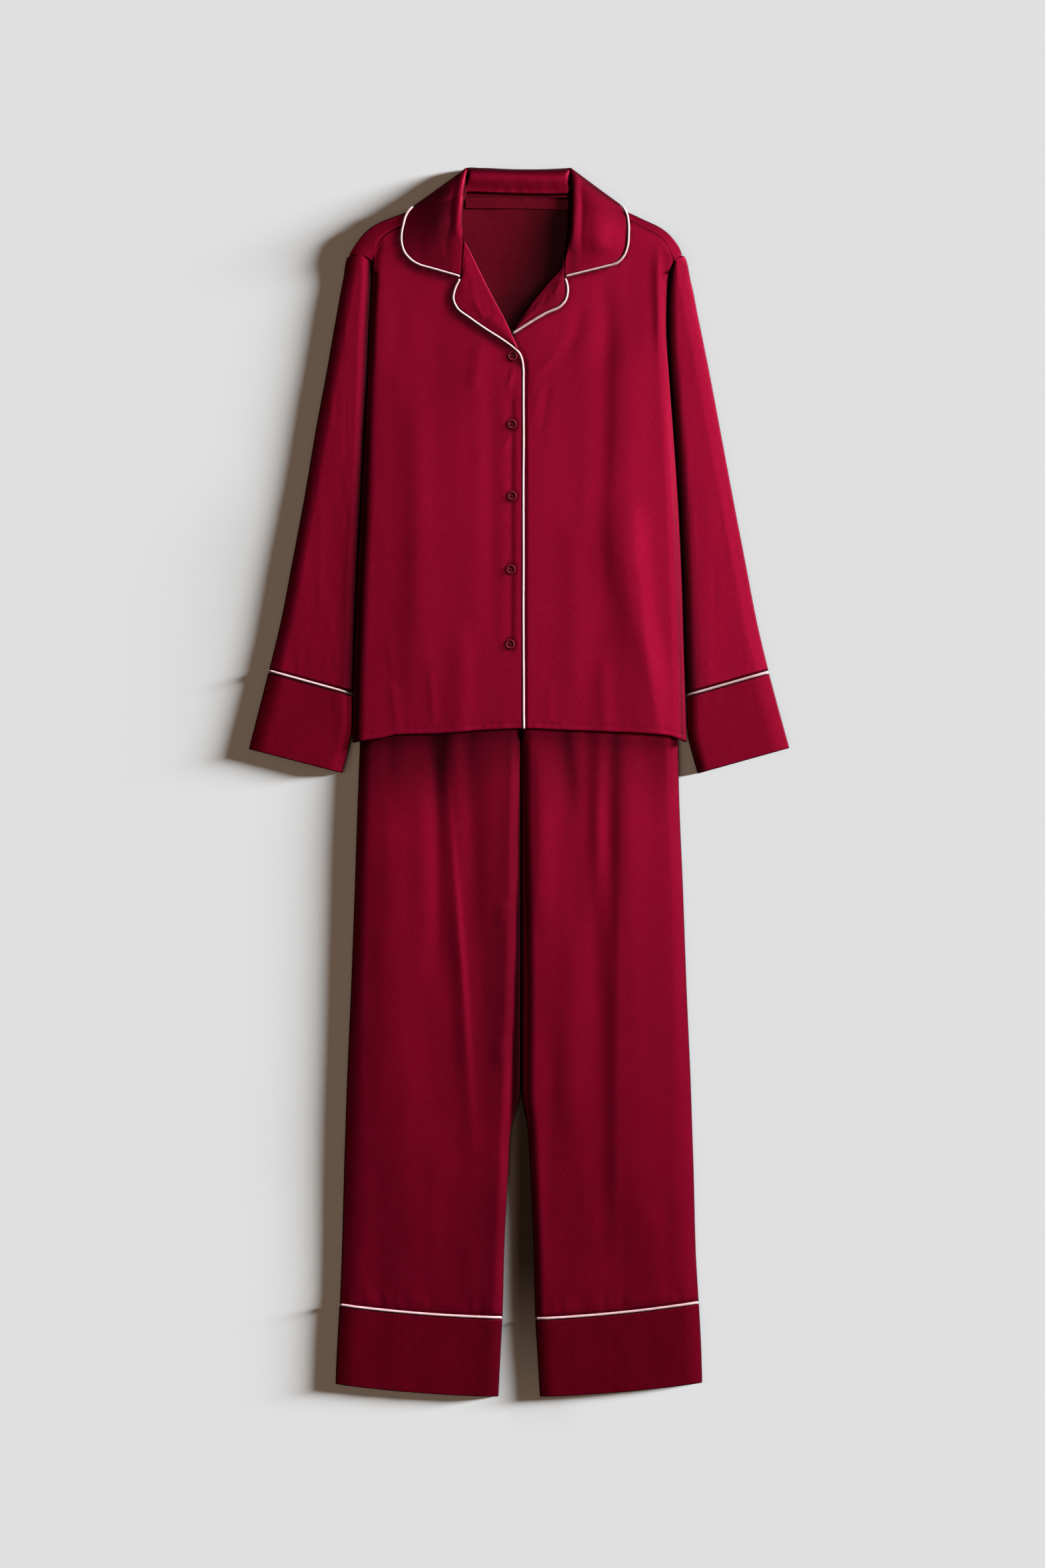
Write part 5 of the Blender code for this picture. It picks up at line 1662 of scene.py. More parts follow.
@dataclass(frozen=True)
class Back:
    """The back: a flat sheet that turns over each shoulder to the forward seam."""

    neck: Pair = (-63, 57.5)
    arms: Pair = (-190.8, 182.6)
    flat: Pair = (0.37, 0.66)
    area: float = 0.210

    def body(self) -> Array:
        """The flat sheet from the hem to the neck.

        Returns:
            The points, row by row.
        """
        share = np.linspace(0, 1, 110)
        rows = []
        for base in np.linspace(0, 1, 120):
            level = mix(52, ARMHOLE_Y, base)
            x = mix(back_edge(Side.RIGHT, level), back_edge(Side.LEFT, level), share)
            y = mix(HEM_LINE(x) + 3, ARMHOLE_Y, base)
            rows.append((x, y))
        ends = back_edge(Side.RIGHT, ARMHOLE_Y), back_edge(Side.LEFT, ARMHOLE_Y)
        for base in np.linspace(0, 1, 34)[1:]:
            x = mix(*ends, share)
            inset = np.where((x > self.neck[0]) & (x < self.neck[1]), SEAM, SHIRT_FOLD)
            rows.append((x, mix(ARMHOLE_Y, SHOULDER_LINE(x) - inset, base)))
        lie = []
        for x, y in rows:
            soft = 0.4 * drift(x, y, 30, 45, 21) + 0.1 * drift(x, y, 9, 60, 22)
            z = shirt_floor(x, y) + CLOTH + 0.35 + soft * ramp(y, 470, 520) * hump(x + 3, 60) * 0.9
            lie.append(np.stack([x, y, z], axis=1))
        return np.stack(lie)

    def tucked(self, grid: Array) -> Array:
        """How much shadow is painted on the body's points under the left collar and lapel, from 0
        to 1.
        """
        away = NECK_SHADE(grid[..., 1]) - grid[..., 0]
        return 0.8 * (1 - ramp(away, 4, 92)) * ramp(grid[..., 1], 470, 500)

    def shoulder(self, side: Side) -> Array:
        """The part that turns over one shoulder to the forward seam.

        Args:
            side: the shoulder's side.

        Returns:
            Its points, as (row, column, axis).
        """
        if side is Side.RIGHT:
            x = np.linspace(self.arms[0], -62.4, 84)
            end = ramp(x, -75, -63)
        else:
            x = np.linspace(57, self.arms[1], 84)
            end = 1 - ramp(x, 57.5, 68)
        fold_y = SHOULDER_LINE(x)
        floor = shirt_floor(x, fold_y)
        arm = np.maximum(ARMHOLE_LINE(x) + SEAM, ARMHOLE_Y + 1)
        on_arm = (x < -166) | (x > 174.4)
        low = np.where(on_arm, arm, fold_y - SHIRT_FOLD - 1.5)
        rows = [np.stack([x, np.minimum(low, fold_y - SHIRT_FOLD), floor], axis=1)]
        for angle in np.radians(np.linspace(-80, 90, 12)):
            rows.append(np.stack([x, fold_y - SHIRT_FOLD * (1 - np.cos(angle)),
                                  floor + SHIRT_FOLD * (1 + np.sin(angle))], axis=1))
        seam_x = x - side.value * -2.6 * end
        seam_y = np.where(on_arm, ARMHOLE_LINE(seam_x), FORWARD_LINE(seam_x))
        seam_y = np.minimum(seam_y, SHOULDER_LINE(seam_x) - SHIRT_FOLD - 0.6)
        for share in np.linspace(0, 1, 16)[1:]:
            sx = mix(x, seam_x, share)
            y = mix(fold_y - SHIRT_FOLD, seam_y, share)
            beside = -0.2 * hump(y - seam_y, 1.3)
            soft = 0.18 * drift(sx, y, 14, 30, 24) * np.sin(math.pi * share)
            rows.append(np.stack([sx, y, shirt_top(sx, y) + beside + soft], axis=1))
        return np.stack(rows)


@dataclass(frozen=True)
class Collar:
    """The camp collar, stand and fall in one strip folded along its roll line."""

    flat: Pair = (0.5, 0.11)
    area: float = 0.0282
    stations: int = 300
    across: int = 40

    def section(self, rows: Array) -> Array:
        """The collar's sections at stations: seam edge, stand, roll, fall and outer edge.

        Args:
            rows: the stations, one to a row.

        Returns:
            Points, as (station, place, axis).
        """
        roll, edge, seam = rows[:, 0:2], rows[:, 2:4], rows[:, 4:6]
        lay, lift, fold = rows[:, 6], rows[:, 7], rows[:, 8]
        fold_z = NECK_LIFT + SHIRT_FOLD
        over, under = np.maximum(lay, 0), np.maximum(-lay, 0)

        def stand_z(place: Array, share: float) -> Array:
            """Height of the stand at places.

            Args:
                place: points of the stand's edge.
                share: the share of the way down.

            Returns:
                The height of each point.
            """
            on_front = shirt_top(place[:, 0], place[:, 1]) - CLOTH / 2 + 0.4 * lift * share
            on_back = shirt_floor(np.array(0), np.array(660)) + CLOTH / 2 + 0.5 * share + 1.2
            return fold_z + over * (on_front - fold_z) + under * (on_back - fold_z)

        def fall_z(place: Array, share: float) -> Array:
            """Height of the fall at places.

            Args:
                place: points of the fall.
                share: the share of the way down.

            Returns:
                The height of each point.
            """
            on_front = shirt_top(place[:, 0], place[:, 1])
            on_front = on_front + SEAM + PIPING_RADIUS + lift * (1 - share)
            return fold_z + over * (on_front - fold_z) + under * (CLOTH / 2 + SEAM / 10 - fold_z)

        folded = np.clip(fold * 4, 0, 1)[:, None]
        flat_stand, folded_tip, flat_tip, fall = (
            towards(roll, edge, np.full(len(rows), inset)) for inset in (0.6, 0.8, 1.6, 3.0))
        tip = mix(flat_tip, folded_tip, folded)
        way = seam - roll
        length = np.maximum(lengths(way)[:, None], 1e-6)
        stand = mix(flat_stand, roll + way / length * 2.4, fold[:, None])
        stand_height = mix(fall_z(stand, 0), stand_z(stand, 1), fold)
        points = [np.column_stack([seam, mix(fall_z(seam, 0), stand_z(seam, 0), fold)]),
                  np.column_stack([stand, stand_height]),
                  np.column_stack([tip, mix(fall_z(tip, 0), (stand_height + fall_z(fall, 0)) / 2,
                                            fold)]),
                  np.column_stack([fall, fall_z(fall, 0)])]
        for share in (0.2, 0.45, 0.72, 1):
            place = mix(fall, edge, share)
            points.append(np.column_stack([place, fall_z(place, share)]))
        return np.stack(points, axis=1)

    def grid(self) -> Array:
        """The whole collar, from the right notch round the neck to the left notch.

        Returns:
            The points, row by row.
        """
        rows = np.array(COLLAR, float)
        places = (rows[:, 0:2] + rows[:, 2:4]) / 2
        run = add_up(np.hypot(*np.diff(places, axis=0).T))
        dense = read_smooth(run, rows, np.linspace(0, run[-1], self.stations), True)
        coarse = self.section(dense)
        fine = np.stack([densify(row, self.across, 0.75) for row in coarse])
        share = np.linspace(0, 1, self.across)[None, :]
        lay = np.maximum(dense[:, 6], 0)[:, None]
        x, y = fine[..., 0], fine[..., 1]
        body = ramp(share, 0.42, 0.6) * (1 - ramp(share, 0.9, 0.99))
        soft = 0.22 * drift(x, y, 24, 34, 31) + 0.06 * drift(x, y, 9, 16, 32)
        belly = 1.7 * np.sin(math.pi * ramp(share, 0.35, 1) ** 0.62)
        fine[..., 2] += lay * (body * soft + belly * np.clip(dense[:, 7:8] / 3, 0, 1))
        fine[..., 2] += lay * 0.55 * relief(COLLAR_CREASES, x, y) * body
        neck = np.maximum(-dense[:, 6], 0)[:, None] * (1 - ramp(share, 0, 0.35))
        fine[..., 2] += neck * (0.15 * drift(x, y, 7, 14, 33) * (1 - ramp(share, 0, 0.3))
                                + 0.2 * drift(x, y, 30, 20, 34))
        return fine

    def tucked(self, grid: Array) -> Array:
        """How much shade is painted on the collar's points: its right wing, and beside its left
        roll.

        Args:
            grid: the collar's points.

        Returns:
            One number for each point.
        """
        x, y = grid[..., 0], grid[..., 1]
        wing = (0.6 + 0.2 * hump(x + 88, 12)) * (1 - ramp(x, -80, -70))
        return wing * (0.6 + 0.4 * ramp(y, 590, 625)) + 0.45 * hump(x - 61, 6)

    def piping(self, side: Side) -> Array:
        """The piping round one leaf: along the notch, round the point and up the free edge.

        Args:
            side: the leaf's side.

        Returns:
            The path's points.
        """
        rows = np.array(COLLAR, float)
        rows = rows[:UNDER_SIDE_START + 1] if side is Side.RIGHT else rows[UNDER_SIDE_END:][::-1]
        leaf = self.section(rows)
        path = np.concatenate([leaf[0, [1, 3, 4, 5, 6]], leaf[:, -1]])
        way = np.zeros_like(path)
        way[1:-1], way[0], way[-1] = path[2:] - path[:-2], path[1] - path[0], path[-1] - path[-2]
        way /= np.hypot(way[:, 0], way[:, 1])[:, None]
        turn = -side.value
        out = np.column_stack([-way[:, 1], way[:, 0], 0 * way[:, 0]]) * turn
        moved = path + out * PIPING_INSET
        moved[-2] = path[-2] + out[-2] * PIPING_INSET * 0.8
        behind, end = leaf[-1, -2], leaf[-1, -1]
        moved[-1] = end + (end - behind) * PIPING_INSET * 0.5 / math.dist(end, behind)
        moved[-1] = mix(moved[-1], moved[-2], 0.35) - np.array([0, 0, 1.2])
        return moved


# Soft dents and swells of the collar's two leaves and the lapels.
COLLAR_CREASES = tuple(Crease(*row) for row in (
    (((-80, 596), (-84, 620), (-88, 640)), 0.5, 9, 9, 14),
    (((72, 588), (70, 612), (74, 640)), -0.6, 7, 8, 14),
    (((96, 590), (92, 612), (100, 634)), 0.7, 9, 8, 14),
    (((58, 596), (62, 630), (64, 668)), 0.6, 4, 6, 20),
))
LAPEL_CREASES = tuple(Crease(*row) for row in (
    (((-38, 518), (-45, 530), (-52, 546)), 0.7, 3.6, 3.2, 9),
    (((-56, 540), (-58, 556), (-57, 572)), -0.5, 5, 4, 10),
    (((-30, 520), (-33, 534), (-40, 552)), -0.4, 3, 3, 9),
    (((38, 546), (42, 554), (46, 564)), 0.8, 3, 2.6, 7),
    (((26, 535), (29, 542), (33, 552)), -0.5, 3, 3, 7),
    (((16, 526), (19, 532), (23, 540)), 0.4, 2.6, 2.6, 6),
))


@dataclass(frozen=True)
class Lapel:
    """A facing turned out as a lapel, round the neck edge of its front."""

    side: Side
    turns: Sequence[Turn]
    dip: float
    flat: Pair
    area: float
    # How much shade is painted evenly over the whole lapel, from 0 to 1.
    painted_shade: float
    rows: int = 90
    across: int = 26

    def face(self, place: Array) -> Array:
        """Height of the front that the lapel lies on."""
        x, y = place[..., 0], place[..., 1]
        return shirt_top(x, y) - lap_dip(x, y, self.dip)

    def grid(self) -> Array:
        """The lapel's turned edge and its face, out to its rim.

        Returns:
            The points, row by row.
        """
        turns = densify(np.array(self.turns, float)[:, None, :], self.rows)[:, 0, :]
        roll, edge = turns[:, 0:2], turns[:, 2:4]
        low = self.face(roll) - CLOTH / 2
        high = self.face(roll) + CLEAR + CLOTH / 2 + 0.9
        radius = (high - low) / 2
        points = []
        for lean in np.radians(np.linspace(-90, 90, 13)):
            place = towards(roll, edge, CLOTH / 2 + radius * (1 - math.cos(lean)))
            points.append(np.column_stack([place, low + radius * (1 + math.sin(lean))]))
        start = points[-1][:, :2]
        for share in np.linspace(0, 1, self.across)[1:]:
            place = mix(start, edge, share)
            rim = self.face(place) + SEAM + PIPING_RADIUS
            x, y = place.T
            belly = math.sin(math.pi * share)
            soft = (0.2 * drift(x, y, 13, 17, 41) + 0.45 * relief(LAPEL_CREASES, x, y)) * belly
            height = mix(high - self.face(roll) + self.face(place), rim, share) + soft
            points.append(np.column_stack([place, height + 0.5 * belly]))
        return np.stack(points, axis=1)


def front_piping_path() -> Array:
    """Piping round the right lapel and down the right front's edge.

    Returns:
        Its points, from the hem up.
    """
    path = densify(np.array([(p.x, p.y, 0) for p in FRONT_PIPING]), 240, 0.8)
    x, y = path[:, 0], path[:, 1]
    on_lapel = ramp(y, 466, 492)
    sway = 0.35 * drift(x, y, 400, 46, 51) * (1 - ramp(y, 440, 470)) * ramp(y, 58, 90)
    lying = shirt_top(x, y) + SEAM + PIPING_RADIUS
    path[:, 0] += sway - 0.8 * (1 - on_lapel)
    path[:, 2] = mix(shirt_top(x, y) - CLOTH / 2 + 0.15, lying, on_lapel)
    return path


def left_piping_path() -> Array:
    """Piping round the left lapel, ending where the right lapel covers it.

    Returns:
        Its points, from the hem up.
    """
    places = np.array([(p.x, p.y, 0) for p in LEFT_PIPING])
    tucked = LEFT_PIPING_TUCK * (places[-1] - places[-2]) / math.dist(places[-1], places[-2])
    path = densify(np.concatenate([places, [places[-1] + tucked]]), 60)
    x, y = path[:, 0], path[:, 1]
    path[:, 2] = shirt_top(x, y) - lap_dip(x, y, OVERLAP_DIP) + SEAM + PIPING_RADIUS
    return path


@dataclass(frozen=True)
class Button:
    """A round four-hole shirt button, sewn on by two bars of thread."""

    radius: float = 5.6
    thick: float = 2.0
    rim: float = 1.25
    dish: float = 0.75
    hole: float = 0.62
    hole_gap: float = 1.15
    thread: float = 0.36
    tilt: Pair = (0.012, -0.02)
    sides: int = 44

    def profile(self) -> Array:
        """Half of the button's section, from the middle of its top to the middle of its base.

        Returns:
            Distance from the middle and height, point by point.
        """
        top, low = self.thick, self.thick - self.dish
        r = self.radius
        points = [(0, low), (r - 2.3 * self.rim, low), (r - 1.9 * self.rim, low + 0.1),
                  (r - 1.5 * self.rim, top - 0.16), (r - 1.15 * self.rim, top),
                  (r - 0.75 * self.rim, top), (r - 0.35, top - 0.22), (r - 0.06, top - 0.62),
                  (r, top - 1), (r - 0.2, 0.35), (r - 0.7, 0), (0, 0)]
        return np.array(points)

    def turned(self, tilt: Array) -> tuple[Array, list[list[int]]]:
        """The button's turned shape, without its holes.

        Args:
            tilt: how far it leans on X and on Y.

        Returns:
            Its points, round the middle of its base, and its faces.
        """
        profile = self.profile()
        angle = np.linspace(0, 2 * math.pi, self.sides, endpoint=False)
        out, up = profile[1:-1, None, 0], profile[1:-1, None, 1]
        round_it = np.stack([out * np.cos(angle), out * np.sin(angle), up * np.ones_like(angle)],
                            axis=-1).reshape(-1, 3)
        points = np.concatenate([round_it, [[0, 0, profile[0, 1]], [0, 0, 0]]])
        points[:, 2] += points[:, :2] @ tilt
        rings, sides = len(profile) - 2, self.sides
        faces: list[list[int]] = []
        for k in range(sides):
            after = (k + 1) % sides
            faces.append([rings * sides, k, after])
            faces.append([rings * sides + 1, (rings - 1) * sides + after, (rings - 1) * sides + k])
            for ring in range(0, (rings - 1) * sides, sides):
                faces.append([ring + k, ring + sides + k, ring + sides + after, ring + after])
        return points, faces

    def build(self, room: Workroom, number: int, place: Across) -> None:
        """Makes one button and its thread, at its place on the front.

        Args:
            room: the workroom that makes meshes.
            number: which button it is, from the collar down.
            place: where it is sewn.
        """
        base = float(shirt_top(np.array(place.x), np.array(place.y))) + 0.1
        points, faces = self.turned(np.array(self.tilt) * (1 if number % 2 else -1))
        points += np.array([place.x, place.y, base])
        body = room.mesh(f"button_{number}_resin", points, faces, BUTTON.name)
        cutters = self.cutters(room, place, base)
        cut = body.modifiers.new("Holes", "BOOLEAN")
        cut.operation = "DIFFERENCE"
        cut.object = cutters
        cut.solver = "EXACT"
        room.settle(body)
        bpy.data.objects.remove(cutters)
        body.data.materials.clear()
        body.data.materials.append(room.finishes[BUTTON.name])
        room.add(body, (f"button_{number}",), BUTTON.name)
        low = base + self.thick - self.dish
        for bar, sign in (("right", -1), ("left", 1)):
            x = place.x + sign * self.hole_gap
            path = np.array([(x, place.y - self.hole_gap, low - 1),
                             (x, place.y - self.hole_gap + 0.1, low + 0.1),
                             (x, place.y, low + 0.42),
                             (x, place.y + self.hole_gap - 0.1, low + 0.1),
                             (x, place.y + self.hole_gap, low - 1)])
            thread = room.cord(f"button_{number}_thread_{bar}", path, self.thread, SEWING.name,
                               sides=8, step=0.3, uneven=0.1, seed=number)
            room.add(thread, slot=BUTTON.name)

    def cutters(self, room: Workroom, place: Across, base: float) -> Piece:
        """Four pegs that cut the button's holes.

        Args:
            room: the workroom that makes meshes.
            place: where the button is sewn.
            base: the height of its base.

        Returns:
            The four pegs, as one piece.
        """
        points, faces = [], []
        count = 12
        for sx in (-1, 1):
            for sy in (-1, 1):
                first = len(points)
                for z in (-1, self.thick + 1):
                    for k in range(count):
                        lean = 2 * math.pi * k / count
                        points.append((place.x + sx * self.hole_gap + self.hole * math.cos(lean),
                                       place.y + sy * self.hole_gap + self.hole * math.sin(lean),
                                       base + z))
                faces.append([first + count - 1 - k for k in range(count)])
                faces.append([first + count + k for k in range(count)])
                faces.extend([first + k, first + (k + 1) % count, first + count + (k + 1) % count,
                              first + count + k] for k in range(count))
        return room.mesh("button_pegs", np.array(points), faces, BUTTON.name)


# ---- Trousers ----

RIGHT_LEG_CREASES = tuple(Crease(*row) for row in (
    (((-158, -560), (-154, -400), (-149, -200), (-147, 60)), 1.6, 26, 42, 160),
    (((-48, -470), (-57, -346), (-65, -219), (-73, -118), (-81, -6), (-84, 66)), 1.2, 11, 5, 260),
    (((-92, -250), (-93, -100), (-94, 66)), -0.7, 10, 8, 90),
    (((-26, -165), (-20, -148), (-16, -130)), 0.5, 7, 6, 12),
    (((-28, -320), (-22, -304), (-18, -288)), 0.5, 7, 6, 12),
    (((-36, -200), (-34, -80), (-30, 60)), 0.45, 14, 12, 60),
    (((-110, -590), (-104, -480), (-100, -330)), 0.6, 20, 22, 90),
    (((-60, -600), (-56, -560), (-58, -500)), 0.4, 10, 10, 30),
))
LEFT_LEG_CREASES = tuple(Crease(*row) for row in (
    (((20, -180), (24, -60), (20, 60)), 0.9, 9, 17, 60),
    (((56, -60), (56.5, 0), (54, 62)), -0.75, 10, 9, 110),
    (((85, -180), (87.5, -30), (88, 64)), 1, 11, 8, 160),
    (((112, -560), (112, -380), (114, -150), (116, 62)), 1.9, 13, 48, 130),
    (((104, -240), (104, -80), (102, 60)), -0.55, 10, 9, 160),
    (((60, -420), (62, -260), (66, -140)), 0.6, 16, 18, 80),
    (((30, -560), (34, -400), (36, -240)), -0.5, 12, 12, 80),
    (((150, -600), (154, -540), (152, -470)), 0.4, 12, 12, 30),
))


@dataclass(frozen=True)
class TrouserFront:
    """A trouser front, wrapped round the outer fold and, below the crotch, the inner fold."""

    side: Side
    table: Sequence[Leg]
    piping: Seam
    creases: tuple[Crease, ...]
    flat: Pair
    area: float
    # Painted shade: how dark under the shirt's hem, where dark columns run down from the hem, and
    # how dark beside the crack.
    hem_shade: float
    hem_shade_columns: tuple[float, ...]
    inner_shade: float = 1.0
    rows: int = 224
    across: int = 96
    bend: int = 8
    seed: int = 61

    def line(self, column: str) -> Table:
        """One column of the leg's table against its height."""
        return Table(self.table, value=Leg._fields.index(column))

    def level(self, share: float, x: Array) -> Array:
        """Height of a place at a share of the way from the cuff seam to the waist seam.

        Args:
            share: how far up the leg the place is.
            x: places across.

        Returns:
            Y at each place.
        """
        across = self.piping.share(x)
        low = mix(self.piping.outer_y, self.piping.inner_y, across)
        return mix(low + bowed(TROUSER_SEAM_BOW, across) + 1, WAIST_SEAM - SEAM / 2, share)

    def ends(self, share: float) -> Pair:
        """Heights of the outer and the inner end of a row at a share of the way up."""
        outer, inner = (self.level(share, np.array(self.side.value * x)) for x in (200, 10))
        return float(outer), float(inner)

    def top(self, x: Array, y: Array) -> Array:
        """Height of the front's outer face, with its folds.

        Args:
            x: places across.
            y: places up.

        Returns:
            The height at each place.
        """
        sign = self.side.value
        outer_gap = (x - self.line("outer")(y)) * -sign
        inner_gap = (self.line("tip")(y) - x) * -sign
        height = 2 * TROUSER_FOLD + TROUSER_RISE
        height = height - (height - WAIST_HEIGHT) * ramp(y, 235, WAIST_SEAM)
        reach = mix(*LEG_SIDE_REACH, ramp(y, -600, -100))
        outer_loft = swell((outer_gap - TROUSER_FOLD) / reach)
        outer = 2 * TROUSER_FOLD + (height - 2 * TROUSER_FOLD) * outer_loft
        inner_loft = swell((inner_gap - LEDGE_FOLD - self.line("ledge")(y)) / LEDGE_REACH)
        leg = 2 * LEDGE_FOLD + (height - 2 * LEDGE_FOLD) * inner_loft
        hip = height - CENTRE_VALLEY * (1 - swell(inner_gap / 12))
        inner = mix(leg, hip, ramp(y, CROTCH_Y, CENTRE_FLAT_Y))
        crest = x - self.line("ridge")(y)
        depth = ramp(y, -430, -60)
        fold = depth * (0.2 * hump(crest, 7) - 0.3 * hump(crest - sign * 17, 9))
        fold = fold - depth * 0.25 * hump(crest + sign * 15, 8)
        under_shirt = 1 - ramp(y, 66, 100)
        drawn = relief(self.creases, x, y) + 0.34 * drift(x, y, 30, 190, self.seed)
        drawn = drawn + 0.06 * drift(x, y, 11, 80, self.seed + 1)
        soft = swell((outer_gap - TROUSER_FOLD) / 12) * swell((inner_gap - LEDGE_FOLD) / 10)
        above = y - mix(self.piping.outer_y, self.piping.inner_y, self.piping.share(x))
        at_cuff = -0.5 * hump(above, 3) + 0.3 * drift(x, y, 7, 30, 66) * hump(above - 8, 12)
        return (np.minimum(outer, inner) + fold * (1 - ramp(y, 235, WAIST_SEAM))
                + (drawn * under_shirt + at_cuff) * soft)

    def grid(self) -> Array:
        """The whole front, from its cuff seam to its waist seam.

        Returns:
            The points, row by row.
        """
        sign = self.side.value
        rows = []
        for share in np.linspace(0, 1, self.rows):
            y_outer, y_inner = self.ends(share)
            outer = float(self.line("outer")(y_outer))
            fold = curl(TROUSER_FOLD, math.pi, self.bend, CURL_TAIL)[::-1]
            outer_bend = np.column_stack([outer - sign * fold[:, 0], np.full(len(fold), y_outer),
                                          2 * TROUSER_FOLD - fold[:, 1]])
            tip = float(self.line("tip")(y_inner)) + sign * SEAM / 4
            turn = math.pi * float(1 - ramp(y_inner, CROTCH_Y, CENTRE_FLAT_Y))
            bend = curl(LEDGE_FOLD, turn, self.bend, CURL_TAIL)
            start_x = tip + sign * bend[0, 0]
            x = np.linspace(outer_bend[-1, 0], start_x, self.across)[1:-1]
            y = self.level(share, x)
            face = np.column_stack([x, y, self.top(x, y)])
            start_z = float(self.top(np.array(start_x), np.array(y_inner)))
            inner_bend = np.column_stack([tip + sign * bend[:, 0], np.full(len(bend), y_inner),
                                          start_z - bend[:, 1]])
            rows.append(np.concatenate([outer_bend, face, inner_bend]))
        return np.stack(rows)

    def tucked(self, grid: Array) -> Array:
        """How much shade is painted on the front's points, from 0 to 1: in the crack between the
        legs, beside it, and under the shirt's hem.

        Args:
            grid: the front's points.

        Returns:
            One number for each point.
        """
        x, y = grid[..., 0], grid[..., 1]
        gap = (self.line("tip")(y) - x) * -self.side.value
        ledge = self.line("ledge")(y)
        crack = (1 - ramp(gap, 0.85 * ledge + 0.3, ledge + 2.2)) * ramp(y, -400, -370)
        uneven = 1 + 0.3 * drift(x, y * 0, 15, 90, self.seed + 2)
        painted_hem_shadow = self.hem_shade * ramp(y, -60, 55) * uneven
        for place in self.hem_shade_columns:
            painted_hem_shadow = painted_hem_shadow + 0.38 * hump(x - place, 8) * ramp(y, -110, 50)
        beside = 0.42 * ramp(y, -400, -280) + 0.3 * (1 - ramp(y, -480, -400))
        beside = beside * self.inner_shade * (1 - ramp(gap - ledge, 0, 75))
        return np.maximum(np.maximum(crack, beside), np.minimum(painted_hem_shadow, 0.9))

    def back(self) -> Array:
        """The trouser back: the flat sheet that the leg rests on.

        Returns:
            The points, row by row.
        """
        sign = self.side.value
        rows = []
        for share in np.linspace(0, 1, 90):
            y_outer, y_inner = self.ends(share)
            outer = float(self.line("outer")(y_outer)) - sign * (TROUSER_FOLD + CURL_TAIL)
            inset = LEDGE_FOLD + CURL_TAIL + CROTCH_EASE * float(ramp(y_inner, -140, -40))
            inset *= float(1 - ramp(y_inner, CENTRE_FLAT_Y + 6, CENTRE_FLAT_Y + 30))
            inner = float(self.line("tip")(y_inner)) + sign * (SEAM / 4 + inset)
            x = np.linspace(outer, inner, 24)
            y = self.level(share, x)
            lift = 0.25 * (drift(x, y, 25, 60, 67) + 1) * np.sin(np.linspace(0, math.pi, 24))
            rows.append(np.column_stack([x, y, LOWEST + lift]))
        return np.stack(rows)


# ---- The set ----

SLEEVE = {"floor": neck_floor, "folds": (SLEEVE_FOLD, SLEEVE_INNER_FOLD), "height": SLEEVE_HEIGHT,
          "flat": (0.21, 0.49), "on_armhole": True}
CUFF = {"floor": flat_floor, "folds": (CUFF_FOLD, CUFF_FOLD), "turned_end": True,
        "finish": SATIN_CUFF.name}
SLEEVE_CUFF = CUFF | {"height": CUFF_HEIGHT, "swells": (18, 12), "flat": (0.225, 0.11), "rows": 60}
TROUSER_CUFF = CUFF | {"height": TROUSER_CUFF_HEIGHT, "swells": (18, 14), "flat": (0.375, 0.105),
                       "area": 0.0379, "bow": TROUSER_SEAM_BOW, "rows": 56, "across": 90}
TAPE_WALL = 0.35
COLLAR_WALL = 1.1
LAPEL_WALL = 1.0
CORD_SWELL = 0.1
CUFF_CORD_SWELL = 0.15
TAIL = 9.0
CUFF_STITCH_DROP = 3.2
CUFF_STITCH_ENDS = 5.0


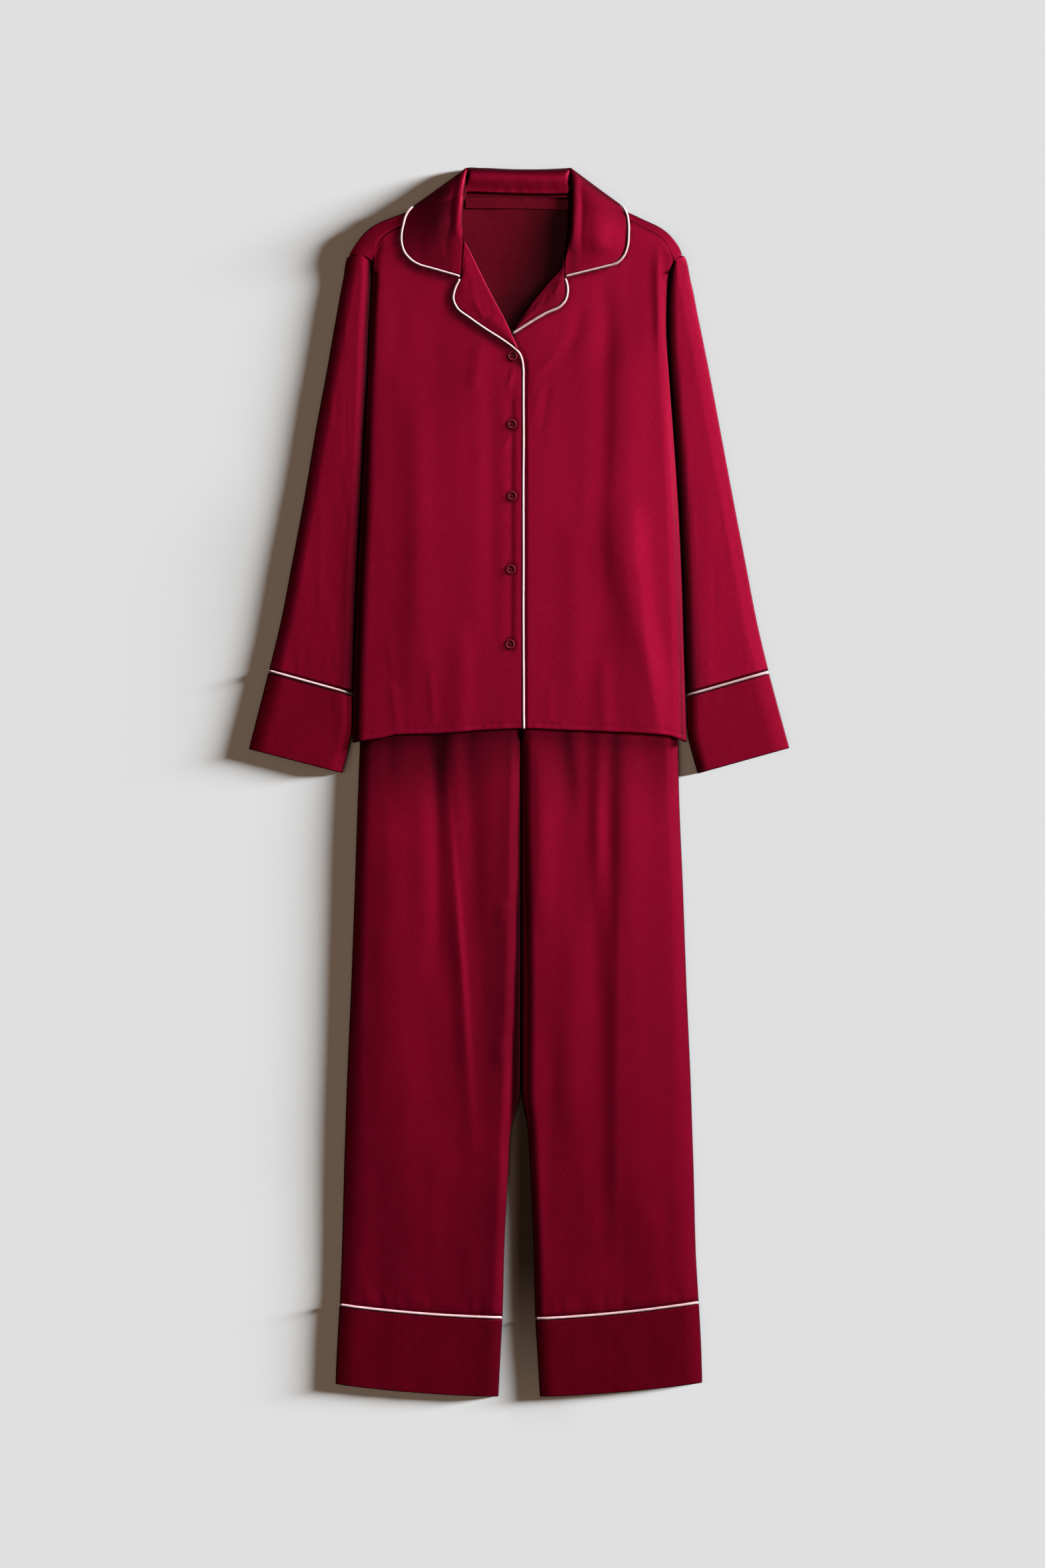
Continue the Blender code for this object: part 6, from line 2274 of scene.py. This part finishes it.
@dataclass
class Shirt:
    """The whole shirt, from its back to its buttons."""

    room: Workroom
    back: Back = Back()
    fronts: tuple[Front, ...] = (
        Front(Side.RIGHT, RIGHT_NECK_LINE, 652, RIGHT_CREASES, (0.215, 0.625), 0.103),
        Front(Side.LEFT, LEFT_NECK_LINE, 649.5, LEFT_CREASES, (0.235, 0.625), 0.110))
    collar: Collar = Collar()
    lapels: tuple[Lapel, ...] = (
        Lapel(Side.RIGHT, RIGHT_LAPEL, 0, (0.06, 0.14), 0.0034, 0),
        Lapel(Side.LEFT, LEFT_LAPEL, OVERLAP_DIP, (0.045, 0.085), 0.0017, 0.42))
    sleeves: tuple[Tube, ...] = (
        Tube("sleeve_right", RIGHT_SLEEVE, swells=(13, 10), flip=True, area=0.060, seed=71,
             painted_shade=(14, 1), **SLEEVE),
        Tube("sleeve_left", LEFT_SLEEVE, swells=(14, 10), flip=False, area=0.0577, seed=73,
             painted_shade=(17, 1), **SLEEVE))
    cuffs: tuple[Tube, ...] = (
        Tube("sleeve_cuff_right", RIGHT_CUFF, flip=True, area=0.0222, seed=75, **SLEEVE_CUFF),
        Tube("sleeve_cuff_left", LEFT_CUFF, flip=False, area=0.0215, seed=77, **SLEEVE_CUFF))

    def build(self) -> None:
        """Makes every piece of the shirt."""
        self.build_body()
        self.build_sleeves()
        self.build_collar()
        for number, place in enumerate(BUTTONS, start=1):
            Button().build(self.room, number, place)
        self.sew()

    def build_body(self) -> None:
        """Makes the back, its tape and the two fronts."""
        room = self.room
        grid = self.back.body()
        body = room.cloth("back_body", grid, SATIN_INSIDE.name, tucked=self.back.tucked(grid))
        shoulders = [room.cloth(f"shoulder_{side.word}", self.back.shoulder(side), SATIN.name,
                                flip=True) for side in Side]
        back = join("shirt_back_cloth", [body, *shoulders])
        room.add(back, ("shirt_back",), SATIN_INSIDE.name)
        tape = room.cloth("neck_tape_cloth", self.tape(), SATIN_INSIDE.name, wall=TAPE_WALL)
        room.add(tape, ("neck_tape",))
        for front in self.fronts:
            word = front.side.word
            grid = front.grid()
            piece = room.cloth(f"shirt_front_{word}_cloth", grid, SATIN.name,
                               flip=front.side is Side.LEFT, tucked=front.tucked(grid))
            room.add(piece, (f"shirt_front_{word}",))

    def tape(self) -> Array:
        """The short tape across the inside of the back neck, under the collar seam.

        Returns:
            The points, row by row.
        """
        x = np.linspace(-62, 56.6, 60)
        rows = []
        for drop in (14.4, 14.2, 13, 10, 7, 4, 0.2):
            y = SHOULDER_LINE(x) - 1 - drop
            tuck = 0.25 * (1 if drop > 14.3 else 0)
            rows.append(np.column_stack([x, y, shirt_floor(x, y) + CLOTH + 0.8 - tuck
                                         + 0.15 * drift(x, y, 9, 30, 25)]))
        return np.stack(rows)

    def build_sleeves(self) -> None:
        """Makes the sleeves, their cuffs and the piping between them."""
        for tube in self.sleeves + self.cuffs:
            tube.build(self.room)
        for word, seam in (("right", RIGHT_CUFF_PIPING), ("left", LEFT_CUFF_PIPING)):
            name = f"sleeve_cuff_piping_{word}"
            cord = self.room.cord(f"{name}_cord", cuff_piping_path(seam, CUFF_HEIGHT, 0),
                                  PIPING_RADIUS + CUFF_CORD_SWELL, PIPING.name, seed=5)
            self.room.add(cord, (name,), PIPING.name)

    def build_collar(self) -> None:
        """Makes the collar, the lapels and the piping round them."""
        room = self.room
        grid = self.collar.grid()
        collar = room.cloth("collar_cloth", grid, SATIN.name, flip=True, centred=True,
                            wall=COLLAR_WALL, tucked=self.collar.tucked(grid))
        room.add(collar, ("collar",))
        for lapel in self.lapels:
            word = lapel.side.word
            grid = lapel.grid()
            piece = room.cloth(f"lapel_{word}_cloth", grid, SATIN.name,
                               flip=lapel.side is Side.RIGHT, centred=True, wall=LAPEL_WALL,
                               tucked=np.full(grid.shape[:2], lapel.painted_shade))
            room.add(piece, (f"lapel_{word}",))
        cords = (("collar_piping_right", self.collar.piping(Side.RIGHT), 1),
                 ("collar_piping_left", self.collar.piping(Side.LEFT), 2),
                 ("front_piping_right", front_piping_path(), 3),
                 ("lapel_piping_left", left_piping_path(), 4))
        for name, path, seed in cords:
            cord = room.cord(f"{name}_cord", path, PIPING_RADIUS + CORD_SWELL, PIPING.name,
                             seed=seed, tail=TAIL if name.startswith("collar") else 0)
            room.add(cord, (name,), PIPING.name)

    def sew(self) -> None:
        """Sews the hems, the front edge, the shoulder seams, the neck tape and the cuffs."""
        right, left = self.fronts
        lines = []
        for front, ends in ((right, (-181, 1)), (left, (8, 181))):
            x = np.linspace(*ends, 160)
            lines.append(line_on(front.face, x, HEM_LINE(x) + HEM_DEPTH, -0.02))
        y = np.linspace(68, 462, 200)
        lines.append(line_on(right.face, 2.3 + 0 * y, y, -0.05))
        for front, ends in ((right, (-152, -70)), (left, (66, 155))):
            x = np.linspace(*ends, 60)
            lines.append(line_on(shirt_top, x, FORWARD_LINE(x) + 1.7, 0.02))
        x = np.linspace(-57.5, 52.5, 60)
        y = SHOULDER_LINE(x) - 14
        lines.append(np.column_stack([x, y, shirt_floor(x, y) + CLOTH + 0.78]))
        self.room.add(self.room.stitches("shirt_stitches", lines))
        cuffs = [cuff.seam_line(seam.lowered(CUFF_STITCH_DROP), CUFF_STITCH_ENDS)
                 for cuff, seam in zip(self.cuffs, (RIGHT_CUFF_PIPING, LEFT_CUFF_PIPING))]
        self.room.add(self.room.stitches("sleeve_cuff_stitches", cuffs))


@dataclass
class Trousers:
    """The whole trousers, from their waistband to their cuffs."""

    room: Workroom
    legs: tuple[TrouserFront, ...] = (
        TrouserFront(Side.RIGHT, RIGHT_LEG, RIGHT_TROUSER_PIPING, RIGHT_LEG_CREASES, (0.21, 0.90),
                     area=0.171, hem_shade=0.66, hem_shade_columns=(-89,)),
        TrouserFront(Side.LEFT, LEFT_LEG, LEFT_TROUSER_PIPING, LEFT_LEG_CREASES, (0.21, 0.90),
                     area=0.168, hem_shade=0.36, hem_shade_columns=(54, 109), inner_shade=0, seed=63))
    cuffs: tuple[Tube, ...] = (
        Tube("trouser_cuff_right", RIGHT_TROUSER_CUFF, flip=True, seed=81, painted_shade=(40, 0.4),
             **TROUSER_CUFF),
        Tube("trouser_cuff_left", LEFT_TROUSER_CUFF, flip=False, seed=83, **TROUSER_CUFF))
    waistband: Tube = Tube(
        "trouser_waistband", WAISTBAND, flat_floor, (TROUSER_FOLD, TROUSER_FOLD), WAIST_HEIGHT,
        swells=(20, 20), flip=False, flat=(0.65, 0.052), area=0.033, turned_end=True, rows=24,
        across=110, seed=85)

    def build(self) -> None:
        """Makes every piece of the trousers."""
        room = self.room
        for leg in self.legs:
            word = leg.side.word
            back = room.cloth(f"trouser_back_{word}_cloth", leg.back(), SATIN.name,
                              flip=leg.side is Side.RIGHT)
            room.add(back, (f"trouser_back_{word}",))
            grid = leg.grid()
            front = room.cloth(f"trouser_front_{word}_cloth", grid, SATIN.name,
                               flip=leg.side is Side.LEFT, tucked=leg.tucked(grid))
            room.add(front, (f"trouser_front_{word}",))
        for tube in (self.waistband, *self.cuffs):
            tube.build(room)
        lines = []
        for cuff, leg in zip(self.cuffs, self.legs):
            name = f"trouser_cuff_piping_{leg.side.word}"
            path = cuff_piping_path(leg.piping, TROUSER_CUFF_HEIGHT, TROUSER_SEAM_BOW)
            cord = room.cord(f"{name}_cord", path, PIPING_RADIUS + CUFF_CORD_SWELL, PIPING.name,
                             seed=7)
            room.add(cord, (name,), PIPING.name)
            lines.append(cuff.seam_line(leg.piping.lowered(CUFF_STITCH_DROP), CUFF_STITCH_ENDS))
        room.add(room.stitches("trouser_cuff_stitches", lines))


def join(name: str, parts: Sequence[Piece]) -> Piece:
    """Joins meshes into the first of them, under a new name.

    Args:
        name: the new name.
        parts: the pieces to join.

    Returns:
        The joined piece.
    """
    first = parts[0]
    with bpy.context.temp_override(active_object=first, object=first, selected_objects=list(parts),
                                   selected_editable_objects=list(parts)):
        bpy.ops.object.join()
    first.name = name
    first.data.name = name
    return first


@dataclass(frozen=True)
class Key:
    """A soft sun that lights some of the scene."""

    name: str
    elevation: float
    turn: float
    size: float
    power: float
    colour: Triple

    def hang(self, lit: bpy.types.Collection) -> None:
        """Hangs the sun so that it lights one collection, with everything casting its shadow.

        Args:
            lit: the collection that it lights.
        """
        lamp = bpy.data.lights.new(self.name, "SUN")
        lamp.energy = self.power
        lamp.color = self.colour
        lamp.angle = math.radians(self.size)
        key = bpy.data.objects.new(self.name, lamp)
        key.rotation_euler = (0, math.radians(90 - self.elevation), math.radians(self.turn))
        bpy.context.scene.collection.objects.link(key)
        key.light_linking.receiver_collection = lit


@dataclass(frozen=True)
class Studio:
    """The floor, the light and the camera."""

    middle: Pair = (0.0038, -0.0025)
    lens: float = 90.0
    frame_height: float = 1.764
    above_cloth: float = 0.008
    floor_half: float = 6.0
    floor_key: Key = Key("floor_key", 6.5, 11, 8, 23.8, (0.903, 0.962, 1))
    cloth_key: Key = Key("cloth_key", 14, 28, 18, 10.4, (0.97, 0.99, 1))
    floor_fill: Key = Key("floor_fill", 40, 195, 60, 0.56, (1, 0.69, 0.47))
    fill: Triple = (0.042, 0.028, 0.021)
    sheen_place: Triple = (0.95, 0.62, 3)
    sheen_size: float = 1.2
    sheen_power: float = 38.0

    def build(self, cloth: bpy.types.Collection) -> None:
        """Lays the floor, hangs the lights and sets the camera, for the set in a collection.

        Args:
            cloth: the collection that holds the set.
        """
        ground = bpy.data.collections.new("Ground")
        bpy.context.scene.collection.children.link(ground)
        self.lay_floor(ground)
        self.floor_key.hang(ground)
        self.cloth_key.hang(cloth)
        self.floor_fill.hang(ground)
        self.light_sheen()
        world = bpy.data.worlds.new("Studio")
        world.use_nodes = True
        backdrop = world.node_tree.nodes["Background"]
        backdrop.inputs["Color"].default_value = (*self.fill, 1)
        backdrop.inputs["Strength"].default_value = 1
        bpy.context.scene.world = world
        bpy.context.scene.view_settings.view_transform = "Standard"
        self.set_camera()

    def lay_floor(self, ground: bpy.types.Collection) -> None:
        """Lays the pale floor, with its painted shadow between the legs, in its own collection.

        Args:
            ground: the collection that it goes in.
        """
        mesh = bpy.data.meshes.new("floor")
        half = self.floor_half
        spots = [(-half, -half, 0), (half, -half, 0), (half, half, 0), (-half, half, 0)]
        mesh.from_pydata(spots, [], [(0, 1, 2, 3)])
        mesh.materials.append(Plaster().make())
        floor = bpy.data.objects.new("floor", mesh)
        ground.objects.link(floor)

    def light_sheen(self) -> None:
        """A broad panel that only the satin's sheen reflects."""
        lamp = bpy.data.lights.new("sheen_panel", "AREA")
        lamp.shape = "DISK"
        lamp.size = self.sheen_size
        lamp.energy = self.sheen_power
        panel = bpy.data.objects.new("sheen_panel", lamp)
        panel.location = self.sheen_place
        away = np.array(self.sheen_place)
        panel.rotation_euler = (0, math.atan2(math.hypot(away[0], away[1]), away[2]),
                                math.atan2(away[1], away[0]))
        panel.visible_diffuse = False
        bpy.context.scene.collection.objects.link(panel)

    def set_camera(self) -> None:
        """Looks straight down on the set through a long lens."""
        eye = bpy.data.cameras.new("camera")
        eye.lens = self.lens
        eye.clip_end = 100
        camera = bpy.data.objects.new("camera", eye)
        distance = self.frame_height * self.lens / eye.sensor_width
        camera.location = (*self.middle, distance + self.above_cloth)
        bpy.context.scene.collection.objects.link(camera)
        bpy.context.scene.camera = camera


def main() -> None:
    """Builds the studio, the trousers and the shirt."""
    logging.basicConfig(level=logging.INFO, format="%(message)s")
    room = Workroom()
    Studio().build(room.collection)
    Trousers(room).build()
    Shirt(room).build()
    LOG.info("all pieces: %d triangles", room.triangles)


if __name__ == "__main__":
    main()
